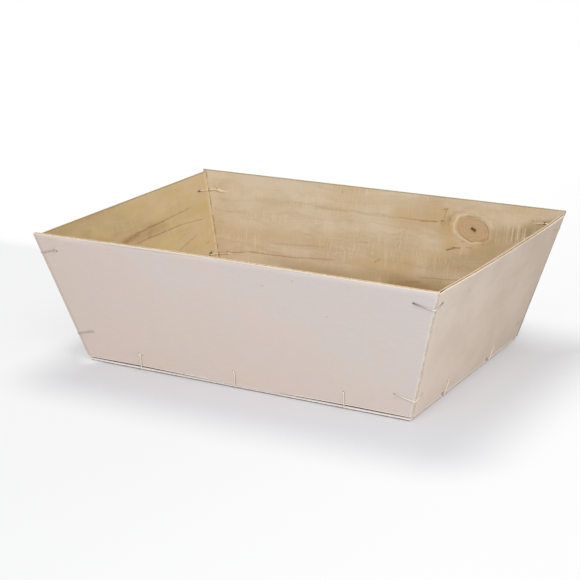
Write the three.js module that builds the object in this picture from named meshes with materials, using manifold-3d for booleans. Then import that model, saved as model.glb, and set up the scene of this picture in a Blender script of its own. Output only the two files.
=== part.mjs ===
// A tapered plywood gift basket: four flared wall boards stand on a thin base board,
// and bent wire staples stitch the boards together along every edge.
// Millimetres, +Z up, +X along the front. The origin is the middle of the underside.
import * as THREE from "three";
import { mergeVertices } from "three/addons/utils/BufferGeometryUtils.js";
import Module from "manifold-3d";

// Outer form: the foot of the walls, how far each wall leans out, and the height of the boards
const footLength = 288.5;
const footWidth = 205;
const endLean = 30.75;
const sideLean = 23;
const boardHeight = 108.3;

// Sheets
const wallThickness = 3;
const baseThickness = 2;
const baseInset = 1;
const jointGap = 0.3;

// Staple wire, and how it lies in the wood
const wireDiameter = 0.9;
const longArm = 16.5;
const shortArm = 12.4;
const tipGap = 1.8;
const wireClearance = 0.2;
const wireRecess = 0.05;

// Making: how far a cut runs past what it cuts, when vertices count as one, and the facets
const overrun = 2;
const weld = 0.0001;
const holeFacets = 12;
const wireFacets = 8;
const bendSteps = 4;

// Where the staples sit: up the corner edge for a corner, along the foot for a wall
const corners = [
  { name: "front_left", side: "front", end: "left", heightShares: [0.2, 0.85], sideArm: longArm, endArm: shortArm },
  { name: "front_right", side: "front", end: "right", heightShares: [0.14, 0.87], sideArm: longArm, endArm: shortArm },
  { name: "back_right", side: "back", end: "right", heightShares: [0.12, 0.86], sideArm: shortArm, endArm: longArm },
  { name: "back_left", side: "back", end: "left", heightShares: [0.29, 0.815], sideArm: shortArm, endArm: longArm },
];
const heightNames = ["lower", "upper"];
const footShares = {
  front: [-0.32, -0.018, 0.31],
  right: [-0.2155, 0.208],
  back: [-0.31, 0, 0.31],
  left: [-0.21, 0.21],
};

// Colours
const woodColours = {
  front: 0xd0c3be,
  right: 0xc8b6a5,
  back: 0xcdb491,
  left: 0xc0a878,
  base: 0xc9b08a,
};
const wireColour = 0xb4a590;

// Angles of the tapered form
const footLevel = baseThickness + jointGap;
const sideRise = Math.sqrt(boardHeight ** 2 - sideLean ** 2);
const sideFlare = Math.asin(sideLean / boardHeight);
const endFlare = Math.atan2(endLean, sideRise);
const wedge = Math.asin(Math.sin(sideFlare) * Math.sin(endFlare));
const cornerAngle = Math.PI / 2 + wedge;

// The corner edge, where two outer faces meet, as it runs on each kind of wall
const sideEdge = { run: endLean, rise: boardHeight };
const endEdge = { run: sideLean, rise: sideRise / Math.cos(endFlare) };

// Wire radii: the middle of the wire turns about the edge that it is bent over
const wireRadius = wireDiameter / 2;
const bedRadius = wireRadius + wireClearance;

// An end wall stops short of the inner faces of the front and back walls
const endCut = (wallThickness * Math.max(1, 1 - Math.sin(wedge))) / Math.cos(wedge) + jointGap;

// Each wall is drawn as seen from outside: x along its foot, y up its slope, outer face at z = 0
const walls = {
  front: { turn: 0, footHalf: footLength / 2, standOff: footWidth / 2, flare: sideFlare, edge: sideEdge, cut: 0 },
  right: { turn: 1, footHalf: footWidth / 2, standOff: footLength / 2, flare: endFlare, edge: endEdge, cut: endCut },
  back: { turn: 2, footHalf: footLength / 2, standOff: footWidth / 2, flare: sideFlare, edge: sideEdge, cut: 0 },
  left: { turn: 3, footHalf: footWidth / 2, standOff: footLength / 2, flare: endFlare, edge: endEdge, cut: endCut },
};
const wallNames = Object.keys(walls);

// Boolean cuts
const wasm = await Module();
wasm.setup();

function toSolid(geometry) {
  const bare = geometry.clone();
  bare.deleteAttribute("normal");
  bare.deleteAttribute("uv");
  const merged = mergeVertices(bare, weld);
  const mesh = new wasm.Mesh({
    numProp: 3,
    vertProperties: merged.attributes.position.array,
    triVerts: new Uint32Array(merged.index.array),
  });
  return new wasm.Manifold(mesh);
}

function toGeometry(solid) {
  const { vertProperties, triVerts } = solid.getMesh();
  const geometry = new THREE.BufferGeometry();
  geometry.setAttribute("position", new THREE.BufferAttribute(vertProperties, 3));
  geometry.setIndex(new THREE.BufferAttribute(triVerts, 1));
  geometry.computeVertexNormals();
  return geometry;
}

// A named piece with a material of its own
function piece(name, geometry, color, roughness, metalness) {
  const mesh = new THREE.Mesh(geometry, new THREE.MeshStandardMaterial({ color, roughness, metalness }));
  mesh.name = name;
  return mesh;
}

const woodPiece = (name, geometry, color) => piece(name, geometry, color, 0.7, 0);
const wirePiece = (name, geometry) => piece(name, geometry, wireColour, 0.4, 0.8);

// Which end of a wall's drawing a neighbour stands at: -1 on the left, 1 on the right
function endSign(wallName, neighbourName) {
  const next = (walls[wallName].turn + 1) % wallNames.length;
  return walls[neighbourName].turn === next ? 1 : -1;
}

// A staple's place on a wall's corner edge, and its direction away from that edge, at right angles to it
function cornerPlace(wallName, neighbourName, heightShare) {
  const { footHalf, edge } = walls[wallName];
  const sign = endSign(wallName, neighbourName);
  const length = Math.hypot(edge.run, edge.rise);
  return {
    point: new THREE.Vector2(sign * (footHalf + edge.run * heightShare), edge.rise * heightShare),
    away: new THREE.Vector2((-sign * edge.rise) / length, edge.run / length),
  };
}

// The holes that the staples pierce in a wall
function wallHoles(wallName) {
  const atCorners = corners
    .filter((corner) => corner.side === wallName || corner.end === wallName)
    .flatMap((corner) => {
      const isSide = corner.side === wallName;
      const neighbour = isSide ? corner.end : corner.side;
      const arm = isSide ? corner.sideArm : corner.endArm;
      return corner.heightShares.map((heightShare) => {
        const { point, away } = cornerPlace(wallName, neighbour, heightShare);
        return point.addScaledVector(away, arm);
      });
    });
  const alongFoot = footShares[wallName].map(
    (footShare) => new THREE.Vector2(footShare * 2 * walls[wallName].footHalf, shortArm),
  );
  return [...atCorners, ...alongFoot];
}

function drillShape(shape, centres) {
  centres.forEach((centre) => {
    shape.holes.push(new THREE.Path().absarc(centre.x, centre.y, bedRadius, 0, 2 * Math.PI, true));
  });
  return shape;
}

// A sheet with its outer face at z = 0 and its thickness behind it
function cutSheet(shape, thickness) {
  const sheet = new THREE.ExtrudeGeometry(shape, {
    depth: thickness,
    bevelEnabled: false,
    curveSegments: holeFacets / 2,
  });
  return sheet.translate(0, 0, -thickness);
}

// A wall board: a square-cut trapezoid
function wallBoard(wallName) {
  const { footHalf, edge, cut } = walls[wallName];
  const setBack = (cut * Math.hypot(edge.run, edge.rise)) / edge.rise;
  const halfAt = (height) => footHalf + (edge.run * height) / edge.rise - setBack;
  const outline = new THREE.Shape([
    new THREE.Vector2(-halfAt(0), 0),
    new THREE.Vector2(halfAt(0), 0),
    new THREE.Vector2(halfAt(boardHeight), boardHeight),
    new THREE.Vector2(-halfAt(boardHeight), boardHeight),
  ]);
  return cutSheet(drillShape(outline, wallHoles(wallName)), wallThickness);
}

// Where a wall's outer face, carried on down, meets the level of the underside
function footLine(wallName) {
  const { standOff, flare } = walls[wallName];
  return standOff - footLevel * Math.tan(flare);
}

// The base board: each staple pierces it and lies flush in a groove pressed across its underside
function baseBoard() {
  const halfLength = footLength / 2 - baseInset;
  const halfWidth = footWidth / 2 - baseInset;
  const outline = new THREE.Shape([
    new THREE.Vector2(-halfLength, -halfWidth),
    new THREE.Vector2(halfLength, -halfWidth),
    new THREE.Vector2(halfLength, halfWidth),
    new THREE.Vector2(-halfLength, halfWidth),
  ]);
  const grooveDepth = wireRecess + wireDiameter + wireClearance;
  const centres = [];
  const grooves = [];
  wallNames.forEach((wallName) => {
    const { turn, standOff, footHalf } = walls[wallName];
    const quarter = (turn * Math.PI) / 2;
    const holeLine = footLine(wallName) - longArm;
    const grooveLength = standOff + overrun - holeLine;
    footShares[wallName].forEach((footShare) => {
      const along = footShare * 2 * footHalf;
      centres.push(new THREE.Vector2(along, -holeLine).rotateAround(new THREE.Vector2(), quarter));
      const groove = new THREE.BoxGeometry(2 * bedRadius, grooveLength, grooveDepth + overrun);
      groove.translate(along, -holeLine - grooveLength / 2, (grooveDepth - overrun) / 2);
      grooves.push(groove.rotateZ(quarter));
    });
  });
  const plate = cutSheet(drillShape(outline, centres), baseThickness).translate(0, 0, baseThickness);
  return toGeometry(grooves.reduce((board, groove) => board.subtract(toSolid(groove)), toSolid(plate)));
}

// A wire's path, whose even steps fall on its own stations: two to a straight run, more round a bend
class WirePath extends THREE.Curve {
  constructor(stations) {
    super();
    this.stations = stations;
  }

  stationAt(share) {
    return this.stations[Math.round(share * (this.stations.length - 1))];
  }

  getPointAt(share, target = new THREE.Vector3()) {
    return target.copy(this.stationAt(share).point);
  }

  getTangentAt(share, target = new THREE.Vector3()) {
    return target.copy(this.stationAt(share).tangent);
  }
}

// The stations of a wire that runs straight from point to point and turns a round bend at each
function wireStations(points, bendRadius) {
  const headings = points.slice(1).map((point, i) => point.clone().sub(points[i]).normalize());
  const stations = [{ point: points[0], tangent: headings[0] }];
  headings.slice(1).forEach((leave, i) => {
    const arrive = headings[i];
    const turn = arrive.angleTo(leave);
    const start = points[i + 1].clone().addScaledVector(arrive, -bendRadius * Math.tan(turn / 2));
    const side = leave.clone().addScaledVector(arrive, -Math.cos(turn)).normalize();
    for (let step = 0; step <= bendSteps; step += 1) {
      const angle = (turn * step) / bendSteps;
      stations.push({
        point: start
          .clone()
          .addScaledVector(arrive, bendRadius * Math.sin(angle))
          .addScaledVector(side, bendRadius * (1 - Math.cos(angle))),
        tangent: arrive.clone().multiplyScalar(Math.cos(angle)).addScaledVector(side, Math.sin(angle)),
      });
    }
  });
  stations.push({ point: points.at(-1), tangent: headings.at(-1) });
  return stations;
}

// A staple that joins two sheets whose outer faces meet at an angle. It lies in one plane:
// x runs along the first sheet's outer face, away from the edge, and y runs into that sheet.
// Each sheet gives its thickness, the arm that lies along it and how high the wire lies over it.
// Both legs pierce their sheets and are clinched on the inner faces, back towards the corner.
function stapleGeometry(angle, first, second) {
  const along = [new THREE.Vector3(1, 0, 0), new THREE.Vector3(Math.cos(angle), Math.sin(angle), 0)];
  const inward = [new THREE.Vector3(0, 1, 0), new THREE.Vector3(Math.sin(angle), -Math.cos(angle), 0)];
  const at = (i, reach, depth) =>
    new THREE.Vector3().addScaledVector(along[i], reach).addScaledVector(inward[i], depth);
  const leg = (i, own, other) => {
    const legDepth = own.thickness + bedRadius;
    const otherFace = (other.thickness + legDepth * Math.cos(angle)) / Math.sin(angle);
    return [at(i, otherFace + tipGap, legDepth), at(i, own.arm, legDepth), at(i, own.arm, -own.lift)];
  };
  const share = inward[0].dot(inward[1]);
  const crown = new THREE.Vector3()
    .addScaledVector(inward[0], (share * second.lift - first.lift) / (1 - share ** 2))
    .addScaledVector(inward[1], (share * first.lift - second.lift) / (1 - share ** 2));
  const points = [...leg(0, first, second), crown, ...leg(1, second, first).reverse()];
  const path = new WirePath(wireStations(points, bedRadius));
  const section = new THREE.Shape().absarc(0, 0, wireRadius, 0, 2 * Math.PI);
  return new THREE.ExtrudeGeometry(section, {
    steps: path.stations.length - 1,
    curveSegments: wireFacets / 2,
    extrudePath: path,
  });
}

// Sets a staple on a wall's drawing: its first arm lies along the given direction
function setStaple(mesh, point, away) {
  const along = new THREE.Vector3(away.x, away.y, 0);
  const inward = new THREE.Vector3(0, 0, -1);
  const across = along.clone().cross(inward);
  mesh.quaternion.setFromRotationMatrix(new THREE.Matrix4().makeBasis(along, inward, across));
  mesh.position.set(point.x, point.y, 0);
  return mesh;
}

const inWall = (arm) => ({ thickness: wallThickness, arm, lift: bedRadius });
const inBase = (arm) => ({ thickness: baseThickness, arm, lift: -(wireRadius + wireRecess) });

function cornerStaples(wallName) {
  return corners
    .filter((corner) => corner.side === wallName)
    .flatMap((corner) =>
      corner.heightShares.map((heightShare, i) => {
        const { point, away } = cornerPlace(wallName, corner.end, heightShare);
        const geometry = stapleGeometry(cornerAngle, inWall(corner.sideArm), inWall(corner.endArm));
        return setStaple(wirePiece(`${corner.name}_${heightNames[i]}_staple`, geometry), point, away);
      }),
    );
}

function footStaples(wallName) {
  const { footHalf, flare } = walls[wallName];
  const belowFoot = footLevel / Math.cos(flare);
  const up = new THREE.Vector2(0, 1);
  return footShares[wallName].map((footShare, i) => {
    const point = new THREE.Vector2(footShare * 2 * footHalf, -belowFoot);
    const geometry = stapleGeometry(Math.PI / 2 + flare, inWall(shortArm + belowFoot), inBase(longArm));
    return setStaple(wirePiece(`${wallName}_base_staple_${i + 1}`, geometry), point, up);
  });
}

// A wall and the staples set on it, stood on the base and tilted out about its foot
function standingWall(wallName) {
  const { turn, standOff, flare } = walls[wallName];
  const tilted = new THREE.Group();
  tilted.position.set(0, -standOff, footLevel);
  tilted.rotation.x = Math.PI / 2 + flare;
  tilted.add(woodPiece(`${wallName}_panel`, wallBoard(wallName), woodColours[wallName]));
  tilted.add(...cornerStaples(wallName), ...footStaples(wallName));
  const turned = new THREE.Group();
  turned.rotation.z = (turn * Math.PI) / 2;
  turned.add(tilted);
  return turned;
}

const basket = new THREE.Group();
basket.add(woodPiece("base_panel", baseBoard(), woodColours.base));
wallNames.forEach((wallName) => basket.add(standingWall(wallName)));

export default basket;
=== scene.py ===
"""The looks of a stitched plywood gift basket, laid out as a Blender add-on.

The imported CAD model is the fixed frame. Each board and each staple is made again in detail
where its CAD piece stands, and a stage gives it a pale floor, soft light and a camera.
Lengths are metres. Colours are written as sRGB numbers from 0 to 255.
"""

import math

import bmesh
import bpy
import numpy as np
from bpy.props import FloatProperty, FloatVectorProperty, IntProperty, PointerProperty
from mathutils import Matrix, Vector
from mathutils.geometry import delaunay_2d_cdt


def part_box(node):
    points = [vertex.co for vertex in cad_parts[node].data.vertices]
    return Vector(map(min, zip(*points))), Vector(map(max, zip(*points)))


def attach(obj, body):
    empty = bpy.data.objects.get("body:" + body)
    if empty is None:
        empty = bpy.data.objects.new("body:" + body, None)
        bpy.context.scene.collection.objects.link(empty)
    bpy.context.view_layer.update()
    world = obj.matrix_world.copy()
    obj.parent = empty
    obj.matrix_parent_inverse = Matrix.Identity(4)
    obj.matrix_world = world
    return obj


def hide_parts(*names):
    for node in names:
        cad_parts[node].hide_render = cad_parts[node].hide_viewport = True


bl_info = {
    "name": "Plywood gift basket",
    "version": (1, 0, 0),
    "blender": (4, 5, 0),
    "location": "View3D > Sidebar > Basket",
    "description": "Dresses a stitched plywood gift basket and sets its stage",
    "category": "Object",
}

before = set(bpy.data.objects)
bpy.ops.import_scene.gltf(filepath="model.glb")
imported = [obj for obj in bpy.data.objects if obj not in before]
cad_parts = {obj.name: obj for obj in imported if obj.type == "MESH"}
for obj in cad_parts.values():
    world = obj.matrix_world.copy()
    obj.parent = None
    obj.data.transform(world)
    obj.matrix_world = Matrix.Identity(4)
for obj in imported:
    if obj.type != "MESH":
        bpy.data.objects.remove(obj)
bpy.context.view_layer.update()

BODY = "root"
MM = 0.001

# Which way each wall faces, and which boards cover the ends of the others
FACINGS = {"front": (0, -1), "right": (1, 0), "back": (0, 1), "left": (-1, 0)}
SIDES = ("front", "back")

# The corner staples: where each sits, in shares of the corner edge, and how far its hole in the front
# or the back lies below the square line, in millimetres
CORNER_STAPLES = {
    "front_left": {"lower": (0.2, 0.6), "upper": (0.85, 1.1)},
    "front_right": {"lower": (0.14, 0.8), "upper": (0.87, 1.2)},
    "back_right": {"lower": (0.12, 0.5), "upper": (0.86, 0.5)},
    "back_left": {"lower": (0.29, 0.5), "upper": (0.815, 0.8)},
}
LONG_ARM_SIDE = "front"
TURNED_CORNER = "front_left"

# The foot staples: where each sits, in shares of the wall's foot, how far its upper end turns aside,
# in shares of the curl, and how far its upper arm leans along the wall, in shares of its length
FOOT_SHARES = {
    "front": (-0.32, -0.018, 0.31),
    "right": (-0.2155, 0.208),
    "back": (-0.31, 0.0, 0.31),
    "left": (-0.21, 0.21),
}
CURL_SHARES = (0.35, 1.5, 0.9)
FOOT_LEANS = {"front": 0.09}

# How dark the corner staples are painted outside, a painted shade and dark reflection, and the corner
# whose bends keep a painted highlight over this share of the bright length
CORNER_WIRE_SHADE = 0.48
OTHER_CORNER_WIRE_SHADES = {"front_right_lower_staple": 0.4, "front_right_upper_staple": 0.9}
BRIGHT_CORNER = "front_right"
BRIGHT_SHARE = 0.2

# Where the core ply starts and ends in an edge, in shares of the thickness from the outer face
# The base's dark band at the bottom of its edge is also a painted contact shade
CORE_SPANS = {"side": (0.52, 0.72), "end": (0.38, 0.68), "base": (0.0, 0.16)}

# The end boards' edges show a gap in the core ply here, painted as shade, in millimetres along the board
CORE_GAP = (-122, -110)


def paint(red, green, blue):
    """A colour as the screen shows it, in the linear numbers that Blender reads."""
    shares = (channel / 255 for channel in (red, green, blue))
    return tuple(s / 12.92 if s <= 0.04045 else ((s + 0.055) / 1.055) ** 2.4 for s in shares)


def number_prop(name, description, default, **options):
    return FloatProperty(name=name, description=description, default=default, **options)


def length_prop(name, description, default):
    return number_prop(name, description, default, unit="LENGTH", precision=5)


def small_prop(name, description, millimetres):
    return length_prop(name, description, millimetres * MM)


def share_prop(name, description, default):
    return number_prop(name, description, default, subtype="FACTOR")


def numbers_prop(name, description, *default, **options):
    return FloatVectorProperty(
        name=name, description=description, default=default, size=len(default), **options
    )


def colour_prop(name, description, *channels):
    return numbers_prop(name, description, *paint(*channels), subtype="COLOR")


def count_prop(name, description, default):
    return IntProperty(name=name, description=description, default=default, min=3)


def titled(prop, table):
    """Settings of one kind, from a table of their descriptions and defaults, titled after their names."""
    return {name: prop(name.replace("_", " ").capitalize(), *row) for name, row in table.items()}


class BasketBoardSettings(bpy.types.PropertyGroup):
    """Sizes of the boards' fine shapes."""

    __annotations__ = {
        **titled(small_prop, {
            "edge_ease": ("How far a sanded edge is rounded", 0.22),
            "core_recess": ("How far the core ply lies behind the veneers at an edge", 0.1),
            "raggedness": ("How far a cut edge wanders", 0.16),
            "edge_pitch": ("Distance between points along an edge", 0.9),
            "face_pitch": ("Distance between points on a face", 6),
            "hole_radius": ("Radius of the hole that a wire pierces", 0.62),
            "pucker": ("How far the wood stands up where a wire bursts through", 0.3),
            "foot_rise": ("How far the front board's foot lifts at its ends", 1.05),
            "foot_drop": ("How far the front board's foot sits down in the middle", 0.05),
            "rim_bow": ("How far the front board's rim bows in", 3.2),
            "rim_sag": ("How far the right board's rim lies lower than straight", 2.4),
            "rim_stand": ("How far it stands out", 0.3),
            "groove_room": ("Room beside and below a wire in its groove", 0.05),
            "corner_chip": ("Chip at the front board's lower left corner", 3.2),
            "splinter_length": ("Length of the slivers at the clinched wires", 4.5),
            "splinter_width": ("Width of those slivers", 1.3),
            "splinter_lift": ("How far they stand off the board", 0.55),
        }),
        **titled(numbers_prop, {
            "groove_shades": ("Shade to the left and the right of a wire", 0.06, 0.14),
            "foot_groove_shades": ("Same, for the wires at the foot", 0.05, 0.6),
        }),
        "inside_groove_shade": share_prop("Inside groove shade", "Same, below the corner wires", 0.45),
    }


class BasketStapleSettings(bpy.types.PropertyGroup):
    """Sizes of the stitching wire."""

    __annotations__ = {
        **titled(small_prop, {
            "wire_diameter": ("Diameter of the stitching wire", 0.9),
            "long_arm": ("Longer arm of a staple", 16.5),
            "short_arm": ("Shorter arm of a staple", 12.4),
            "tip_gap": ("Room between a clinched tip and the next board", 1.8),
            "bend_radius": ("Radius of the wire's middle line at a bend", 0.65),
            "press": ("How deep the wire is pressed into the wood", 0.12),
            "corner_press": ("Same, at the corners, outside", 0.26),
            "curl": ("How far a wire turns aside before it goes into the wood", 0.9),
            "curl_length": ("Length of that turn", 1.3),
            "bright_length": ("How far the wire is bright round a corner", 1.6),
            "recess": ("How far the wire lies inside the underside", 0.05),
            "tip_length": ("Length of the nipped tip", 0.5),
        }),
        "tip_share": share_prop("Tip share", "Width of the nipped tip's end", 0.55),
        **titled(count_prop, {
            "bend_points": ("Points round a bend", 6),
            "ring_points": ("Points round the wire", 14),
        }),
    }


class BasketColours(bpy.types.PropertyGroup):
    """Colours of the wood and the wire."""

    __annotations__ = titled(colour_prop, {
        "side_outside": ("Outer faces of the front and back", 221, 213, 209),
        "side_outside_turned": ("Warmer patches of those faces", 228, 211, 199),
        "end_outside": ("Outer faces of the ends", 235, 218, 202),
        # A painted shade: the ends darken towards it along the board
        "end_outside_turned": ("Their darker side", 215, 196, 177),
        "outside_fibre": ("Shade between the fibres of an outer face", 176, 152, 132),
        "outside_crossing": ("Fine pale lines of an outer face", 238, 226, 212),
        "outside_fleck": ("Flecks of an outer face", 150, 126, 112),
        # A pale colour for the painted highlights at the foot and beside the front right corner, and for the
        # front's pale band below the rim
        "fringe": ("Torn fibres at a cut edge", 255, 244, 234),
        "inside": ("Inner faces of the front, the back and the right end", 219, 203, 179),
        # Also the colour of the painted shade that the leans add
        "inside_dark": ("Darker grain of those faces", 186, 160, 125),
        "inside_warm": ("Warmer patches of those faces", 208, 184, 145),
        "left_inside": ("Inner face of the left end", 211, 187, 148),
        # Also the colour of the painted shade that the lean adds towards the front
        "left_inside_dark": ("Darker grain of that face", 183, 159, 116),
        "left_inside_warm": ("Yellower patches of that face", 204, 182, 126),
        "crossing": ("Fine pale lines across the grain", 238, 220, 186),
        "heartwood": ("Brown streaks and the knot", 150, 114, 76),
        "ochre": ("Ochre shade in the wood", 196, 166, 116),
        # Also a painted shade at the foot and at the right end's rim of the back board
        "olive": ("Greenish shade in the wood", 158, 135, 95),
        "pith": ("Dark middle of the knot", 72, 52, 38),
        "knot_pale": ("Paler rings of the knot", 200, 171, 134),
        "knot_dark": ("Darker rings of the knot", 192, 162, 125),
        "outer_veneer": ("Cut edge of the outer veneer", 228, 214, 196),
        "side_inner_veneer": ("Cut edge inside, front and back", 228, 208, 176),
        "end_outer_veneer": ("Cut edge outside, ends", 233, 215, 196),
        "end_inner_veneer": ("Cut edge inside, ends", 214, 194, 162),
        # The core ply, darkened further as a painted shade of its recess
        "core_edge": ("Cut edge of the core ply", 172, 144, 116),
        "end_core_edge": ("Same, on the two ends", 132, 108, 86),
        "end_grain": ("Cut ends of the front and the back", 244, 230, 214),
        "end_grain_dark": ("Core ply at those ends", 226, 210, 194),
        "back_end_grain": ("Cut ends of the back board", 190, 180, 164),
        "back_end_grain_dark": ("Core ply at those ends", 158, 150, 134),
        "base_edge": ("Upper veneer of the base board's edge", 255, 247, 240),
        # The base edge's core, with a painted contact shade at the bottom of the edge
        "base_edge_dark": ("Core ply of that edge", 120, 105, 101),
        "base_edge_low": ("Lower veneer of that edge", 176, 163, 160),
        "crevice": ("Dirt and shade in a narrow gap", 42, 32, 29),
        # Bruised wood round the holes, and also the painted shade beside the wires, beside the front's left
        # end and at the right board's foot
        "bruise": ("Wood round a pierced hole", 108, 84, 68),
        # A painted shade
        "rim_shade": ("Greyed wood just below a rim, inside", 132, 126, 100),
        "wire": ("Drawn steel of the staples", 248, 238, 224),
        # Also the painted shade and dark reflection on the corner staples' arms
        "wire_dull": ("Dull spots of the wire", 116, 104, 96),
        # A painted reflection of the warm wood
        "wire_inside": ("Wire inside, warmed by the wood", 246, 230, 200),
        "splinter": ("Torn slivers at the wires", 234, 214, 190),
    })


class BasketStageSettings(bpy.types.PropertyGroup):
    """Floor, light and camera."""

    floor_half: length_prop("Floor half", "Half the width of the floor", 4.0)
    floor_gap: small_prop("Floor gap", "How far the floor lies below the base board", 0.35)
    floor_colour: colour_prop("Floor colour", "Colour of the floor", 213, 214, 218)
    shadow_middle: numbers_prop(
        "Shadow middle", "Middle of the floor that keeps its shadow", 0.027, -0.0155, unit="LENGTH"
    )
    shadow_half: numbers_prop(
        "Shadow half", "Half the width and depth of that floor", 0.15, 0.1155, unit="LENGTH"
    )
    shadow_fade: length_prop("Shadow fade", "Distance over which the shadow then fades", 0.078)
    open_span: numbers_prop(
        "Open span", "Where the open floor turns paler, from the left", -0.05, 0.28, unit="LENGTH"
    )
    open_paleness: numbers_prop("Open paleness", "How pale it is on the left and on the right", 0.76, 0.93)
    behind_span: numbers_prop(
        "Behind span", "Where the floor behind the basket turns white", 0.07, 0.17, unit="LENGTH"
    )
    behind_paleness: numbers_prop("Behind paleness", "How white it is on the left and the right", 1.0, 0.8)
    # Painted light over the basket's shadow on the left
    left_start: numbers_prop("Left start", "Start of a paler patch on the left", -0.195, -0.07, unit="LENGTH")
    left_end: numbers_prop("Left end", "End of that patch", -0.13, -0.105, unit="LENGTH")
    left_reach: length_prop("Left reach", "Half the width of that patch", 0.028)
    left_paleness: share_prop("Left paleness", "How pale it is", 0.5)
    white_span: numbers_prop("White span", "Where the floor turns plain white", 0.25, 0.75, unit="LENGTH")
    world_strength: number_prop("World strength", "Strength of the sky light", 0.6)
    key_power: number_prop("Key power", "Power of the large lamp", 20.0, unit="POWER")
    key_width: length_prop("Key width", "Width of the large lamp", 1.0)
    key_place: numbers_prop("Key place", "Where the large lamp hangs", 0.817, -0.974, 1.412, unit="LENGTH")
    camera_place: numbers_prop(
        "Camera place", "Where the camera stands", 0.59557, -1.05741, 0.43154, unit="LENGTH"
    )
    camera_heading: number_prop("Camera heading", "Turn to the left", math.radians(29.965), unit="ROTATION")
    camera_tilt: number_prop("Camera tilt", "Tilt below the level", math.radians(17.408), unit="ROTATION")
    camera_roll: number_prop("Camera roll", "Roll of the camera", math.radians(-0.976), unit="ROTATION")
    camera_lens: number_prop("Camera lens", "Focal length in millimetres", 97.22)


class BoardPlace:
    """Where a board stands: x along its foot, y up its slope, and depth in from its outer face."""

    def __init__(self, origin, along, up, thickness, outline):
        self.origin = origin
        self.along = along
        self.up = up
        self.out = along.cross(up)
        self.thickness = thickness
        self.outline = outline

    def point(self, x, y, depth=0.0):
        return self.origin + self.along * x + self.up * y - self.out * depth


def read_wall(wall):
    """A wall's place, from its CAD board: the lowest points are its outer foot, the farthest its rim."""
    facing = Vector((*FACINGS[wall], 0.0))
    along = Vector((-facing.y, facing.x, 0.0))
    points = [vertex.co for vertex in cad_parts[f"{wall}_panel"].data.vertices]
    foot = min(points, key=lambda point: point.z)
    rim = max(points, key=lambda point: point.dot(facing))
    slope = rim - foot
    slope -= along * slope.dot(along)
    up = slope.normalized()
    height = slope.length
    origin = foot - along * foot.dot(along)
    out = along.cross(up)
    thickness = max((origin - point).dot(out) for point in points)
    near = height / 100
    foot_half = max(abs(p.dot(along)) for p in points if (p - origin).dot(up) < near)
    rim_half = max(abs(p.dot(along)) for p in points if (p - origin).dot(up) > height - near)
    outline = [(-foot_half, 0.0), (foot_half, 0.0), (rim_half, height), (-rim_half, height)]
    return BoardPlace(origin, along, up, thickness, outline)


def read_base():
    """The base board's place. Its outer face is its underside, so its y runs towards the front."""
    low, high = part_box("base_panel")
    outline = [(low.x, -high.y), (high.x, -high.y), (high.x, -low.y), (low.x, -low.y)]
    return BoardPlace(Vector((0, 0, low.z)), Vector((1, 0, 0)), Vector((0, -1, 0)), high.z - low.z, outline)


PLACES = {wall: read_wall(wall) for wall in FACINGS}
PLACES["base"] = read_base()


class Arm:
    """One arm of a staple: it lies along a board's outer face and its leg goes in through the board.

    Aside is how far the hole lies off the arm's line. With a knee the wire runs along that line
    and turns aside only near its end.
    """

    def __init__(self, board, along, length, lift, aside=None, knee=0.0):
        self.board = board
        self.along = along
        self.inward = -PLACES[board].out
        self.thickness = PLACES[board].thickness
        self.length = length
        self.lift = lift
        self.aside = aside or Vector()
        self.knee = knee

    def corners(self, crown):
        """The arm's corner points on the board's outer face, from the crown to the hole."""
        end = crown + self.along * self.length + self.aside
        return [crown, crown + self.along * (self.length - self.knee), end] if self.knee else [crown, end]


class Staple:
    """A staple bent over an edge at a crown point, with an arm on each of the two boards."""

    def __init__(self, name, crown, first, second):
        self.name = name
        self.crown = crown
        self.arms = (first, second)

    def on_board(self, arm):
        """The arm's corner points in its board's own x and y, from the crown to the hole."""
        place = PLACES[arm.board]
        offs = [corner - place.origin for corner in arm.corners(self.crown)]
        return [Vector((off.dot(place.along), off.dot(place.up))) for off in offs]

    def leg(self, arm, other, settings):
        """A leg's points, from its tip on the inner face out to its shoulder."""
        leg_depth = arm.thickness + settings.wire_diameter / 2 - settings.press
        cosine = arm.along.dot(other.along)
        sine = math.sqrt(1 - cosine**2)
        other_face = (other.thickness + leg_depth * cosine) / sine
        tip = other_face + settings.tip_gap
        reaches = (tip, tip + settings.tip_length)
        points = [self.crown + arm.along * reach + arm.inward * leg_depth for reach in reaches]
        _, *outside = arm.corners(self.crown)
        points.append(outside[-1] + arm.inward * leg_depth)
        points += [corner - arm.inward * arm.lift for corner in reversed(outside)]
        return points

    def path(self, settings):
        first, second = self.arms
        share = first.inward.dot(second.inward)
        bend = self.crown.copy()
        bend += first.inward * ((share * second.lift - first.lift) / (1 - share**2))
        bend += second.inward * ((share * first.lift - second.lift) / (1 - share**2))
        return [*self.leg(first, second, settings), bend, *reversed(self.leg(second, first, settings))]

    def looks(self, points, fade):
        """How dark the wire is painted at each point, and which points lie inside the basket.

        A corner staple's arms get a painted shade and dark reflection, and at one corner its bend keeps a
        painted highlight.
        """
        off = points - np.array(self.crown[:])
        inside = np.ones(len(points), bool)
        for arm in self.arms:
            inside &= off @ np.array(arm.inward[:]) > arm.thickness / 2
        at_foot = any(arm.board == "base" for arm in self.arms)
        wire_darkening = np.full(len(points), 0.0 if at_foot else OTHER_CORNER_WIRE_SHADES.get(self.name, CORNER_WIRE_SHADE))
        # A painted highlight: the bend stays bright
        if self.name.startswith(BRIGHT_CORNER):
            wire_darkening *= (np.linalg.norm(off, axis=1) / fade - BRIGHT_SHARE).clip(0, 1)
        return np.where(inside, 0.0, wire_darkening), inside


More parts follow.
